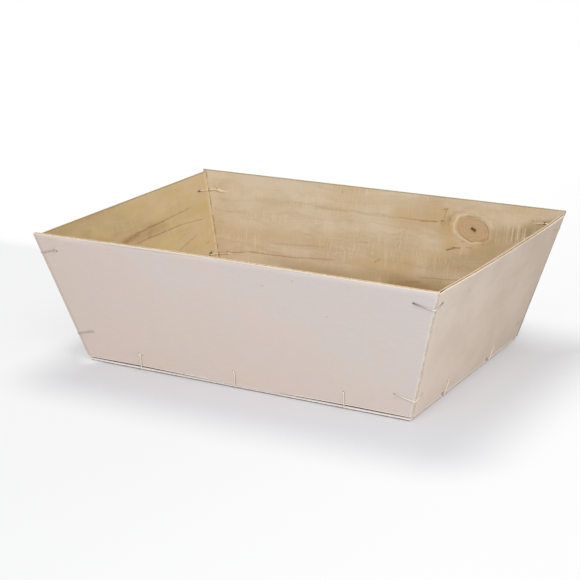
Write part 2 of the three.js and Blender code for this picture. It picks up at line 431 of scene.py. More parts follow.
def corner_staples(settings):
    """The two staples of each corner, at right angles to the corner edge."""
    lift = settings.wire_diameter / 2 - settings.corner_press
    arm_lengths = (settings.long_arm, settings.short_arm)
    staples = []
    for corner, levels in CORNER_STAPLES.items():
        side, end = corner.split("_")
        place = PLACES[side]
        toward_end = 1 if Vector((*FACINGS[end], 0)).dot(place.along) > 0 else -1
        foot, rim = [place.point(toward_end * x, y) for x, y in place.outline[1:3]]
        edge = (rim - foot).normalized()
        aways = []
        for wall, other in ((side, end), (end, side)):
            away = PLACES[wall].out.cross(edge)
            aways.append(-away if away.dot(Vector((*FACINGS[other], 0))) > 0 else away)
        side_arm, end_arm = arm_lengths if side == LONG_ARM_SIDE else reversed(arm_lengths)
        knee = settings.curl_length if corner == TURNED_CORNER else 0.0
        for level, (share, drop) in levels.items():
            first = Arm(side, aways[0], side_arm, lift, place.up * -drop * MM, knee)
            second = Arm(end, aways[1], end_arm, lift)
            staples.append(Staple(f"{corner}_{level}_staple", foot.lerp(rim, share), first, second))
    return staples


def foot_staples(settings):
    """The staples that are bent under the base board's edge."""
    wire_radius = settings.wire_diameter / 2
    staples = []
    for wall, shares in FOOT_SHARES.items():
        place = PLACES[wall]
        below = place.origin.z / place.up.z
        foot_length = 2 * corner_foot_half(wall)
        upward = (place.up + place.along * FOOT_LEANS.get(wall, 0.0)).normalized()
        inwards = Vector((*FACINGS[wall], 0)) * -1
        for order, share in enumerate(shares, start=1):
            crown = place.point(share * foot_length, -below)
            aside = place.along * -settings.curl * CURL_SHARES[order % len(CURL_SHARES)]
            reach = settings.short_arm + below
            up_wall = Arm(wall, upward, reach, wire_radius - settings.press, aside, settings.curl_length)
            under_base = Arm("base", inwards, settings.long_arm, -(wire_radius + settings.recess))
            staples.append(Staple(f"{wall}_base_staple_{order}", crown, up_wall, under_base))
    return staples


def corner_foot_half(wall):
    """Half the distance between the corner edges at a wall's foot, which the end boards stop short of."""
    if wall in SIDES:
        return PLACES[wall].outline[1][0]
    return abs(PLACES["front"].origin.y)


# Board meshes

# The shade beside a wire: how far it reaches from the wire's middle line, how far it then fades, and
# the rows of points that follow it, beyond the dent
SHADE_REACH = 0.6 * MM
SHADE_FADE = 0.45 * MM
SHADE_ROWS = (0, 0.3 * MM, 0.75 * MM)

# An outline's rounded corners: their radius in shares of the eased edge, and the steps round each
ROUNDING = 2.5
CORNER_STEPS = 3

# How an edge wanders: the shares of its slow and its quick part, the share of each row's own, and how
# many points there are to one knot of the slow part
SLOW_WANDER = 0.6
QUICK_WANDER = 0.4
ROW_WANDER = 0.25
KNOT_POINTS = 3

# An edge point lies at a board's end where its direction inwards turns this far along the board
END_FACING = 0.7

# A hole's points, and the rings of points round it, in shares of its radius
HOLE_POINTS = 14
HOLE_RINGS = (1.6, 2.4, 3.4)

# Room that scattered points keep from the outline, from a dent and from a hole's rings, the pitch of
# the points along a dent, and the room that all points keep from the outline
SCATTER_ROOM = 1.5 * MM
DENT_ROOM = 1.2 * MM
RING_ROOM = 0.3 * MM
DENT_PITCH = 1.1 * MM
OUTLINE_ROOM = 0.7 * MM

# Half the width of the step between two plies, and how far a burst hole's wood stands up around it
PLY_STEP = 0.1 * MM
BURST_REACH = 0.8 * MM

# How far the bruise round a hole reaches, outside and inside
BRUISE_OUTSIDE = 0.12 * MM
BRUISE_INSIDE = 0.7 * MM

# Points of a swept wire that lie nearer than this are joined
WELD_DISTANCE = 0.001 * MM

# The seed of the base board's mesh. Those of the walls are their order.
BASE_SEED = 11

# Edges sharper than this are shaded as edges
BOARD_SHARPNESS = math.radians(28)
WIRE_SHARPNESS = math.radians(40)


def left_of(run):
    """The direction at right angles to a run, to its left."""
    return np.array((-run[1], run[0])) / np.linalg.norm(run)


def well_inside(points, corners, room):
    """Which points keep this room from a convex outline."""
    inside = np.ones(len(points), bool)
    for start, end in zip(corners, np.roll(corners, -1, axis=0)):
        inside &= (points - start) @ left_of(end - start) > room
    return inside


class Pressing:
    """A straight dent in a board's outer face, with a painted shade to its left and its right.

    The same wire's end lies on the inner face, with a painted shadow below it.
    """

    def __init__(self, start, end, half_width, slope, depth, shades=(0.0, 0.0), inside_shade=0.0):
        self.start = np.array(start[:])
        self.end = np.array(end[:])
        self.run = self.end - self.start
        self.half_width = half_width
        self.slope = slope
        self.depth = depth
        self.shades = shades
        self.inside_shade = inside_shade

    def gap(self, points):
        """Distance of each point from the dent's middle line."""
        share = ((points - self.start) @ self.run / (self.run @ self.run)).clip(0, 1)
        return np.linalg.norm(points - self.start - share[:, None] * self.run, axis=1)

    def depth_at(self, points):
        share = ((self.half_width + self.slope - self.gap(points)) / self.slope).clip(0, 1)
        return self.depth * share * share * (3 - 2 * share)

    def shade_at(self, points, outside):
        off = points - self.start
        on_right = self.run[1] * off[:, 0] > self.run[0] * off[:, 1]
        beside = np.where(on_right, self.shades[1], self.shades[0])
        below = np.where(on_right == (self.run[0] > 0), self.inside_shade, 0.0)
        near = 1 - ((self.gap(points) - SHADE_REACH) / SHADE_FADE).clip(0, 1)
        return np.where(outside, beside, below) * near

    def seeds(self):
        """Points in rows along the dent, so that the mesh can follow its slopes and its shade."""
        reach = self.half_width + self.slope
        steps = np.linspace(0, 1, max(2, round(np.linalg.norm(self.run) / DENT_PITCH)))
        beside = [side * (reach + row) for side in (-1, 1) for row in SHADE_ROWS]
        offsets = (*beside, -self.half_width, 0, self.half_width)
        across = left_of(self.run)
        return np.array([self.start + self.run * step + across * off for step in steps for off in offsets])

    def edges(self):
        """The places beside the dent's start where its slopes begin and end."""
        reach = self.half_width + self.slope
        offsets = (-reach, -self.half_width, self.half_width, reach)
        return [self.start + offset * left_of(self.run) for offset in offsets]


def outline_loop(corners, radius, pitch, extra):
    """Points round a convex outline with rounded corners, and the direction inwards at each point."""
    corners = [np.array(corner, float) for corner in corners]
    count = len(corners)
    headings = [corners[(i + 1) % count] - corners[i] for i in range(count)]
    headings = [heading / np.linalg.norm(heading) for heading in headings]
    turns = []
    for i in range(count):
        before, after = headings[i - 1], headings[i]
        turns.append(math.atan2(before[0] * after[1] - before[1] * after[0], before @ after))
    setbacks = [radius * math.tan(turn / 2) for turn in turns]
    points, inwards = [], []
    for i, corner in enumerate(corners):
        arrive, leave = headings[i - 1], headings[i]
        middle = corner - arrive * setbacks[i] + np.array((-arrive[1], arrive[0])) * radius
        for step in range(CORNER_STEPS + 1):
            angle = turns[i] * step / CORNER_STEPS
            outward = (arrive[1], -arrive[0])
            turned = np.array((
                outward[0] * math.cos(angle) - outward[1] * math.sin(angle),
                outward[0] * math.sin(angle) + outward[1] * math.cos(angle),
            ))
            points.append(middle + turned * radius)
            inwards.append(-turned)
        start = corner + leave * setbacks[i]
        end = corners[(i + 1) % count] - leave * setbacks[(i + 1) % count]
        length = np.linalg.norm(end - start)
        inward = np.array((-leave[1], leave[0]))
        places = list(np.linspace(0, length, max(2, round(length / pitch)) + 1)[1:-1])
        for point in extra:
            reach = (point - start) @ leave
            if abs((point - start) @ inward) < radius and radius < reach < length - radius:
                places = [place for place in places if abs(place - reach) > pitch / 3] + [reach]
        for place in sorted(places):
            points.append(start + leave * place)
            inwards.append(inward)
    return np.array(points), np.array(inwards)


def ripple(count, knots, rng):
    """A smooth random line from 0 to 1 that closes on itself."""
    heights = rng.random(knots)
    closed = np.append(heights, heights[0])
    return np.interp(np.linspace(0, knots, count, endpoint=False), np.arange(knots + 1), closed)


def ring(centre, radius):
    angles = np.linspace(0, 2 * math.pi, HOLE_POINTS, endpoint=False)
    return centre + radius * np.stack([np.cos(angles), np.sin(angles)], axis=1)


def face_seeds(corners, pitch, rng):
    """Points scattered evenly over an outline."""
    low, high = np.min(corners, axis=0), np.max(corners, axis=0)
    row_pitch = pitch * math.sqrt(3) / 2
    points = []
    for row, y in enumerate(np.arange(low[1] + row_pitch / 2, high[1], row_pitch)):
        for x in np.arange(low[0] + pitch / 2 * (row % 2), high[0], pitch):
            points.append((x, y))
    points = np.array(points) + rng.uniform(-pitch, pitch, (len(points), 2)) / 8
    return points[well_inside(points, corners, SCATTER_ROOM)]


def triangulate(points, edges):
    """Triangles between flat points, each running against the clock."""
    flat = [Vector(point / MM) for point in points]
    _, _, triangles, sources, _, _ = delaunay_2d_cdt(flat, edges, [], 0, 1e-6)
    names = [source[0] for source in sources]
    found = []
    for triangle in triangles:
        a, b, c = (names[i] for i in triangle)
        area = np.cross(points[b] - points[a], points[c] - points[a])
        found.append((a, b, c) if area > 0 else (a, c, b))
    return found


def edge_profile(thickness, core_span, settings):
    """An edge's rows from the outer face to the inner one: each one's depth, and how far in it lies."""
    ease = settings.edge_ease
    core_start, core_end = (share * thickness for share in core_span)
    return [
        (0.4 * ease, 0.3 * ease),
        (1.2 * ease, 0.0),
        (core_start - PLY_STEP, 0.0),
        (core_start + PLY_STEP, settings.core_recess),
        (core_end - PLY_STEP, settings.core_recess),
        (core_end + PLY_STEP, 0.0),
        (thickness - 1.2 * ease, 0.0),
        (thickness - 0.4 * ease, 0.3 * ease),
    ]


def dents(points, pressings):
    """How deep the outer face is pressed in at each point."""
    depth = np.zeros(len(points))
    for pressing in pressings:
        depth = np.maximum(depth, pressing.depth_at(points))
    return depth


def bursts(points, holes, settings):
    """How far the inner face stands up at each point, round the holes."""
    height = np.zeros(len(points))
    for hole in holes:
        gap = np.linalg.norm(points - hole, axis=1) - settings.hole_radius
        height = np.maximum(height, settings.pucker * np.exp(-(gap / BURST_REACH) ** 2))
    return height


def flat_seeds(corners, pressings, holes, settings, rng):
    """The points of a face inside its outline: scattered, in rows along the dents, in rings round holes."""
    seeds = face_seeds(corners, settings.face_pitch, rng)
    for pressing in pressings:
        seeds = seeds[pressing.gap(seeds) > pressing.half_width + pressing.slope + DENT_ROOM]
        seeds = np.concatenate([seeds, pressing.seeds()])
    for hole in holes:
        reach = settings.hole_radius * HOLE_RINGS[-1]
        seeds = seeds[np.linalg.norm(seeds - hole, axis=1) > reach + RING_ROOM]
        for share in HOLE_RINGS:
            seeds = np.concatenate([seeds, ring(hole, settings.hole_radius * share)])
    return seeds[well_inside(seeds, corners, OUTLINE_ROOM)]


def board_mesh(name, place, corners, core_span, marks, settings, seed, bend=None, end_wander=1.0):
    """A board of three plies: eased and slightly ragged edges, pierced holes and dents under the wires."""
    rng = np.random.default_rng(seed)
    corners = np.array(corners)
    thickness = place.thickness
    pressings, holes = marks
    grooves = [point for p in pressings if p.depth > settings.core_recess for point in p.edges()]
    loop, inward = outline_loop(corners, ROUNDING * settings.edge_ease, settings.edge_pitch, grooves)
    count = len(loop)
    slow = SLOW_WANDER * ripple(count, count // KNOT_POINTS, rng)
    wander = settings.raggedness * (slow + QUICK_WANDER * rng.random(count))
    wander *= np.where(np.abs(inward[:, 0]) > END_FACING, end_wander, 1.0)

    # Flat points shared by the outer and the inner face: the outline, the holes, then the others
    edge_points = loop + inward * (settings.edge_ease + wander)[:, None]
    hole_rings = [ring(hole, settings.hole_radius) for hole in holes]
    flat = np.concatenate([edge_points, *hole_rings, flat_seeds(corners, pressings, holes, settings, rng)])
    hole_of = np.full(len(flat), -1)
    edges = [(i, (i + 1) % count) for i in range(count)]
    rims = []
    for order in range(len(holes)):
        first = count + order * HOLE_POINTS
        hole_of[first: first + HOLE_POINTS] = order
        rims += [(first + i, first + (i + 1) % HOLE_POINTS) for i in range(HOLE_POINTS)]
    triangles = [
        (a, b, c) for a, b, c in triangulate(flat, edges + rims)
        if not (hole_of[a] >= 0 and hole_of[a] == hole_of[b] == hole_of[c])
    ]

    # Vertices: outer face, inner face, then the rows between them round the edge
    outer = np.column_stack([flat, dents(flat, pressings)])
    inner = np.column_stack([flat, thickness + bursts(flat, holes, settings)])
    rows = []
    for depth, inset in edge_profile(thickness, core_span, settings):
        jitter = settings.raggedness * ROW_WANDER * rng.random(count)
        points = loop + inward * (inset + wander + jitter)[:, None]
        rows.append(np.column_stack([points, np.maximum(depth, outer[:count, 2])]))
    unbent = np.concatenate([outer, inner, *rows])
    vertices = unbent + bend(unbent) if bend else unbent

    # Faces: outer, inner, then those of the edge and of the holes
    inner_start = len(flat)
    row_starts = [0, *(2 * len(flat) + i * count for i in range(len(rows))), inner_start]
    walls = [
        (upper + i, lower + i, lower + after, upper + after)
        for upper, lower in zip(row_starts, row_starts[1:]) for i, after in edges
    ]
    walls += [(here, after, inner_start + after, inner_start + here) for here, after in rims]
    turned = [(inner_start + a, inner_start + c, inner_start + b) for a, b, c in triangles]
    kinds = [0] * len(triangles) + [2] * len(triangles) + [1] * len(walls)

    axes = np.array([place.along[:], place.up[:], (-place.out)[:]])
    points = np.array(place.origin[:]) + vertices @ axes
    mesh = bpy.data.meshes.new(name)
    mesh.from_pydata(points.tolist(), [], [*triangles, *turned, *walls])
    mesh.polygons.foreach_set("material_index", kinds)
    mesh.shade_smooth()
    mesh.set_sharp_from_angle(angle=BOARD_SHARPNESS)
    crease_faces(mesh, (0, inner_start), count)
    store(mesh, "on_board", unbent / MM)
    store(mesh, "bruise", bruises_and_shade(unbent, thickness, pressings, holes, settings.hole_radius))
    return mesh


def store(mesh, name, values):
    """Keeps a number or a place at each point of a mesh, for the materials."""
    kind, field = ("FLOAT_VECTOR", "vector") if values.ndim > 1 else ("FLOAT", "value")
    layer = mesh.attributes.new(name, kind, "POINT")
    layer.data.foreach_set(field, values.astype(np.float32).ravel())


def crease_faces(mesh, starts, count):
    """Keeps the shading of the flat faces apart from that of their rounded edges."""
    ends = np.empty(2 * len(mesh.edges), np.int32)
    mesh.edges.foreach_get("vertices", ends)
    ends = ends.reshape(-1, 2)
    sharp = np.empty(len(mesh.edges), bool)
    mesh.edges.foreach_get("use_edge_sharp", sharp)
    for start in starts:
        sharp |= ((ends >= start) & (ends < start + count)).all(axis=1)
    mesh.edges.foreach_set("use_edge_sharp", sharp)


def bruises_and_shade(vertices, thickness, pressings, holes, hole_radius):
    """How dark the wood is at each vertex: bruised round the holes, wider inside, with a painted shade beside
    the wires outside and a painted shadow below them inside.
    """
    shade = np.zeros(len(vertices))
    flat = vertices[:, :2]
    outside = vertices[:, 2] < thickness / 2
    reach = np.where(outside, BRUISE_OUTSIDE, BRUISE_INSIDE)
    for hole in holes:
        gap = np.linalg.norm(flat - hole, axis=1) - hole_radius
        shade = np.maximum(shade, np.exp(-(gap.clip(0, None) / reach) ** 2))
    for pressing in pressings:
        shade = np.maximum(shade, pressing.shade_at(flat, outside))
    return shade


def new_object(name, mesh, materials=()):
    for material in materials:
        mesh.materials.append(material)
    made = bpy.data.objects.new(name, mesh)
    bpy.context.scene.collection.objects.link(made)
    return made


def place_piece(made, node):
    """A finished piece takes the place of its CAD node and moves with its body."""
    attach(made, BODY)
    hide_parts(node)


# Node trees

class NodeMaker:
    """Adds nodes to a tree, and feeds their inputs with values or links."""

    def __init__(self, tree):
        self.tree = tree

    def feed(self, socket, value):
        if isinstance(value, bpy.types.NodeSocket):
            self.tree.links.new(value, socket)
        elif value is not None:
            socket.default_value = value

    def add(self, kind, inputs=None, **settings):
        node = self.tree.nodes.new(kind)
        for name, value in settings.items():
            setattr(node, name, value)
        for name, value in (inputs or {}).items():
            self.feed(node.inputs[name], value)
        return node

    def result(self, kind, inputs=None, output=0, **settings):
        """An output of a new node."""
        return self.add(kind, inputs, **settings).outputs[output]

    def maths(self, operation, *values, clamp=False):
        node = self.add("ShaderNodeMath", operation=operation, use_clamp=clamp)
        for socket, value in zip(node.inputs, values):
            self.feed(socket, value)
        return node.outputs[0]

    def times(self, product, *factors):
        for factor in factors:
            product = self.maths("MULTIPLY", product, factor)
        return product

    def plus(self, first, second, clamp=False):
        return self.maths("ADD", first, second, clamp=clamp)

    def minus(self, first, second):
        return self.maths("SUBTRACT", first, second)

    def line(self, value, slope, start):
        """A value times a slope, plus a start."""
        return self.maths("MULTIPLY_ADD", value, slope, start)

    def larger(self, first, second):
        return self.maths("MAXIMUM", first, second)

    def size(self, value):
        return self.maths("ABSOLUTE", value)

    def vector(self, operation, *values):
        node = self.add("ShaderNodeVectorMath", operation=operation)
        for socket, value in zip(node.inputs, values):
            self.feed(socket, value)
        return node.outputs["Value" if operation in ("DOT_PRODUCT", "LENGTH", "DISTANCE") else "Vector"]

    def stretched(self, place, x=1.0, y=1.0):
        """A place scaled along the board and up it, and flattened."""
        return self.vector("MULTIPLY", place, (x, y, 0.0))

    def split(self, place):
        return self.add("ShaderNodeSeparateXYZ", {"Vector": place}).outputs

    def join(self, **parts):
        return self.result("ShaderNodeCombineXYZ", parts)

    def span(self, value, low, high, to_low=0.0, to_high=1.0, smooth=True):
        """Value mapped from one span to another, and kept within it."""
        node = self.add("ShaderNodeMapRange", interpolation_type="SMOOTHSTEP" if smooth else "LINEAR")
        for socket, bound in zip(node.inputs, (value, low, high, to_low, to_high)):
            self.feed(socket, bound)
        return node.outputs["Result"]

    def noise(self, place, scale=1.0, detail=2.0, roughness=0.5, output="Fac"):
        inputs = {"Vector": place, "Scale": scale, "Detail": detail, "Roughness": roughness}
        return self.result("ShaderNodeTexNoise", inputs, output)

    def dashes(self, place, along, across, low, high):
        """Where a broken line shows."""
        return self.span(self.noise(self.stretched(place, along, across), detail=1.0), low, high)

    def blend(self, share, first, second, mode="MIX"):
        node = self.add("ShaderNodeMix", data_type="RGBA", blend_type=mode)
        self.feed(node.inputs["Factor"], share)
        self.feed(node.inputs[6], colour(first))
        self.feed(node.inputs[7], colour(second))
        return node.outputs[2]

    def tinted(self, wood, tint, mask, strength):
        """Wood with a tint where a mask shows it."""
        return self.blend(self.times(mask, strength), wood, tint)

    def group(self, tree, **inputs):
        node = self.add("ShaderNodeGroup")
        node.node_tree = tree
        for name, value in inputs.items():
            self.feed(node.inputs[name.replace("_", " ").title()], value)
        return node.outputs

    def stored(self, name, output="Fac"):
        """What the mesh keeps under a name."""
        return self.result("ShaderNodeAttribute", output=output, attribute_name=name)

    def board_place(self):
        """The place on the board in millimetres, and its parts."""
        place = self.stored("on_board", "Vector")
        return place, self.split(place)


def colour(value):
    """A colour setting as the four numbers that a colour socket takes."""
    return value if isinstance(value, bpy.types.NodeSocket) else (*value[:3], 1.0)


SOCKETS = {"float": "NodeSocketFloat", "vector": "NodeSocketVector"}


def effect_group(name, inputs, outputs):
    """A new shader node group, its maker, and its input sockets by name."""
    tree = bpy.data.node_groups.new(name, "ShaderNodeTree")
    for in_out, sockets in (("INPUT", inputs), ("OUTPUT", outputs)):
        for label, kind in sockets.items():
            tree.interface.new_socket(label, in_out=in_out, socket_type=SOCKETS[kind])
    return tree, NodeMaker(tree), tree.nodes.new("NodeGroupInput").outputs


def close_group(tree, **results):
    """Feeds the group's outputs."""
    end = tree.nodes.new("NodeGroupOutput")
    for name, socket in results.items():
        tree.links.new(socket, end.inputs[name.title()])
    return tree


# The parts of the grain: how quickly each changes along and across it, and how finely
GRAIN_PARTS = {
    "wander": (0.012, 0.03, 2.0),
    "crossings": (1.05, 0.05, 1.0),
    "patches": (0.03, 0.03, 1.0),
    "flecks": (0.16, 1.1, 2.0),
    "fibre": (0.09, 1.7, 4.0),
    "mottle": (0.022, 0.03, 3.0),
}

# How far the bands wander, and how quickly they change along and across the grain
BAND_WANDER = 26.0
BAND_PITCHES = (0.006, 0.16)


def veneer_grain_group():
    """Grain of a peeled poplar veneer, on a place in millimetres with x along the grain."""
    tree, make, given = effect_group(
        "Veneer grain",
        {"Place": "vector", "Seed": "float"},
        {"Fibre": "float", "Bands": "float", "Crossings": "float", "Flecks": "float", "Mottle": "float"},
    )
    shift = make.join(Z=given["Seed"])

    def grain(part):
        along, across, detail = GRAIN_PARTS[part]
        place = make.vector("ADD", make.stretched(given["Place"], along, across), shift)
        return make.noise(place, detail=detail, roughness=0.6)

    wander = make.times(grain("wander"), BAND_WANDER)
    bent = make.vector("ADD", given["Place"], make.join(Y=wander))
    band_place = make.vector("ADD", make.stretched(bent, *BAND_PITCHES), shift)
    crossings = make.span(grain("crossings"), 0.53, 0.72)
    patches = make.span(grain("patches"), 0.36, 0.6, 0.25, 1.0)
    return close_group(
        tree,
        fibre=grain("fibre"),
        bands=make.noise(band_place, detail=3.0, roughness=0.55),
        crossings=make.times(crossings, patches),
        flecks=make.span(grain("flecks"), 0.68, 0.8),
        mottle=grain("mottle"),
    )


def knot_group():
    """Bends the grain round a tilted oval knot. Local is a place in knot radii from its middle."""
    tree, make, given = effect_group(
        "Knot flow",
        {"Place": "vector", "Middle": "vector", "Size": "vector", "Tilt": "float", "Pull": "float"},
        {"Place": "vector", "Local": "vector", "Rings": "float"},
    )
    flat = make.stretched(make.vector("SUBTRACT", given["Place"], given["Middle"]))
    inputs = {"Vector": flat, "Angle": make.times(given["Tilt"], -1.0)}
    level = make.result("ShaderNodeVectorRotate", inputs, rotation_type="Z_AXIS")
    local = make.vector("DIVIDE", level, given["Size"])
    rings = make.vector("LENGTH", local)
    square = make.larger(make.times(rings, rings), 1.0)
    squeeze = make.minus(1.0, make.maths("DIVIDE", given["Pull"], square))
    parts = make.split(flat)
    flowed = make.join(X=parts["X"], Y=make.times(parts["Y"], squeeze))
    return close_group(tree, place=make.vector("ADD", flowed, given["Middle"]), local=local, rings=rings)


def arc_group():
    """Part of a soft ring round a knot. Toward is where its middle lies, spread the cosine at its ends."""
    tree, make, given = effect_group(
        "Knot arc",
        {"Local": "vector", "Radius": "float", "Half Width": "float", "Toward": "vector", "Spread": "float"},
        {"Mask": "float"},
    )
    off_ring = make.size(make.minus(make.vector("LENGTH", given["Local"]), given["Radius"]))
    near = make.minus(1.0, make.span(off_ring, 0.0, given["Half Width"]))
    facing = make.vector("DOT_PRODUCT", make.vector("NORMALIZE", given["Local"]), given["Toward"])
    full = make.line(given["Spread"], 0.55, 0.45)
    return close_group(tree, mask=make.times(near, make.span(facing, given["Spread"], full)))


def streak_group():
    """A soft line from one place to another, bent aside by its swing and weakened where it is broken."""
    kinds = {"Place": "vector", "Start": "vector", "End": "vector", "Half Width": "float"}
    tree, make, given = effect_group(
        "Grain streak", {**kinds, "Swing": "float", "Broken": "float"}, {"Mask": "float"}
    )
    flat = make.stretched(given["Place"])
    run = make.vector("SUBTRACT", given["End"], given["Start"])
    reach = make.vector("SUBTRACT", flat, given["Start"])
    length_squared = make.vector("DOT_PRODUCT", run, run)
    share = make.maths("DIVIDE", make.vector("DOT_PRODUCT", reach, run), length_squared, clamp=True)
    scale = make.result("ShaderNodeVectorMath", {"Vector": run, "Scale": share}, operation="SCALE")
    nearest = make.vector("ADD", given["Start"], scale)
    gap = make.vector("DISTANCE", make.vector("ADD", flat, make.join(Y=given["Swing"])), nearest)
    near = make.minus(1.0, make.span(gap, 0.0, given["Half Width"]))
    ends = make.maths("MULTIPLY", make.times(share, make.minus(1.0, share)), 9.0, clamp=True)
    return close_group(tree, mask=make.times(near, ends, given["Broken"]))


def board_end_group():
    """How far a place on a wall board lies from its nearer sloping end, in millimetres."""
    tree, make, given = effect_group(
        "Board end", {"Place": "vector", "Foot Half": "float", "Flare": "float"}, {"Gap": "float"}
    )
    parts = make.split(given["Place"])
    end = make.line(parts["Y"], given["Flare"], given["Foot Half"])
    level_gap = make.minus(end, make.size(parts["X"]))
    slope = make.maths("SQRT", make.line(given["Flare"], given["Flare"], 1.0))
    return close_group(tree, gap=make.maths("DIVIDE", level_gap, slope))


EFFECTS = {
    "grain": veneer_grain_group,
    "knot": knot_group,
    "arc": arc_group,
    "streak": streak_group,
    "end": board_end_group,
}
GROUPS = {}


def effect(name):
    """A shared effect, built the first time that it is used."""
    if name not in GROUPS:
        GROUPS[name] = EFFECTS[name]()
    return GROUPS[name]


def begin_material(name, roughness=None):
    """A new material, its maker and its shader."""
    material = bpy.data.materials.new(name)
    material.use_nodes = True
    material.node_tree.nodes.clear()
    make = NodeMaker(material.node_tree)
    shader = make.add("ShaderNodeBsdfPrincipled", {"Roughness": roughness})
    make.add("ShaderNodeOutputMaterial", {"Surface": shader.outputs[0]})
    return material, make, shader


def end_gap(make, place, wall):
    """Distance from a wall board's nearer end, in millimetres."""
    foot_half, (rim_half, height) = PLACES[wall].outline[1][0], PLACES[wall].outline[2]
    flare = (rim_half - foot_half) / height
    return make.group(effect("end"), place=place, foot_half=foot_half / MM, flare=flare)["Gap"]


# Looks of the wood. Places and distances are in millimetres.

# How much of the mottle, the fibres, the pale crossings and the flecks shows on an outer face
OUTSIDE_GRAIN = {"mottle": 0.24, "fibre": 0.07, "crossings": 0.1, "flecks": 0.12}

# How an outer face turns to its second colour: along the board, up it, and where that starts
# On the ends the second colour is a painted shade: the board darkens along x, towards the back on the right
# end
TURNS = {"side": (0.0022, 0.0055, 0.05), "end": (-0.0042, 0.0, 0.5)}

# A painted highlight along the eased foot: where it starts and ends, how it breaks, and its strength
FOOT_HIGHLIGHT = (1.2, 0.6)
FOOT_HIGHLIGHT_DASHES = (0.3, 0.0, 0.3, 0.45)
FOOT_HIGHLIGHT_STRENGTH = 0.7

# The front's pale band below the rim: its distances from the rim, and its strength
RIM_BAND = (4.5, 1.0)
RIM_BAND_STRENGTH = 0.28

# Dark stretches of the joint at an end board's ends: where they show, how they break, their strength
JOINT_SPAN = (0.8, 0.4)
JOINT_DASHES = (0.0, 0.16, 0.36, 0.56)
JOINT_STRENGTH = 0.25

# How an inner face turns darker along the board and up it, and where that starts
PLAIN_LEAN = (0.0, 0.0, 0.1)
# A painted shade: the left board darker towards the front, the back board darker towards its right end and
# its foot
LEFT_SHADE_LEAN = (0.006, 0.0, 0.3)
BACK_SHADE_LEAN = (-0.0012, -0.005, 0.5)
BASE_LEAN = (0.0, 0.0, 0.0)

# How strong the pale crossings are on the inner faces, and on the left one
SCRAPED = 0.42
LEFT_SCRAPED = 0.2

# How high the relief of an outer face, an inner face and an edge is, in metres
OUTSIDE_RELIEF = 0.06 * MM
INSIDE_RELIEF = 0.08 * MM
EDGE_RELIEF = 0.1 * MM
WOOD_ROUGHNESS = (0.55, 0.75)
EDGE_ROUGHNESS = (0.7, 0.85)

# How much each part of the grain darkens an inner face: where it begins and ends to count, and by how much
INSIDE_GRAIN = {
    "Bands": (0.36, 0.66, 0.0, 0.26),
    "Fibre": (0.3, 0.7, -0.1, 0.16),
    "Mottle": (0.3, 0.7, -0.12, 0.24),
}
INSIDE_FLECKS = 0.2

# The warmer patches of an inner face: how quickly they change along and across the grain, where they
# begin and are full, and how strong they then are
PATCH_PITCHES = (0.02, 0.045)
PATCH_SPAN = (0.45, 0.68, 0.0, 0.5)

# Painted shade below a rim, inside: its distances from the rim, and its strength
RIM_SHADE_SPAN = (1.5, 0.6)
RIM_SHADE_STRENGTH = 0.6

# The left board's ends: two pale bands, then a dark broken line with its distance and its blur
LEFT_BANDS = ((4.2, 3.0, 0.0, 0.35), (1.4, 0.8, 0.0, 0.75))
LEFT_LINE_PLACE = 1.9
LEFT_LINE_SPAN = (0.6, 0.1)
LEFT_LINE_DASHES = (0.0, 0.18, 0.45, 0.6)
LEFT_LINE_STRENGTH = 0.45

# The back board's right end: a brown broken joint, and the half of the board that shows it
BACK_JOINT_SPAN = (4.0, 3.6)
BACK_JOINT_DASHES = (0.0, 0.12, 0.4, 0.6)
BACK_JOINT_SIDE = (0.0, 10.0, 0.0, 0.45)

# The shade on the base board under the walls: its distances from the board's edge, and its strength
UNDER_WALLS = (2.4, 1.6)
UNDER_WALLS_STRENGTH = 0.9

# Seeds of the grain: the step from wall to wall, what an inner face adds, and those of the base board
WALL_SEEDS = 7.0
INSIDE_SEED = 3.0
BACK_SEED = 4.0
BASE_ABOVE_SEED = 33.0
BASE_BELOW_SEED = 21.0


def finish_wood(make, shader, wood, height, bump, rough=WOOD_ROUGHNESS):
    """Wood's colour with its bruises and the painted shade beside the wires, its roughness and its relief."""
    bruised_and_shaded = make.blend(make.stored("bruise"), wood, bpy.context.scene.basket_colours.bruise)
    make.feed(shader.inputs["Base Color"], bruised_and_shaded)
    make.feed(shader.inputs["Roughness"], make.span(height, 0.3, 0.7, rough[1], rough[0]))
    relief = make.result("ShaderNodeBump", {"Height": height, "Distance": bump})
    make.feed(shader.inputs["Normal"], relief)
    shader.inputs["Specular IOR Level"].default_value = 0.3


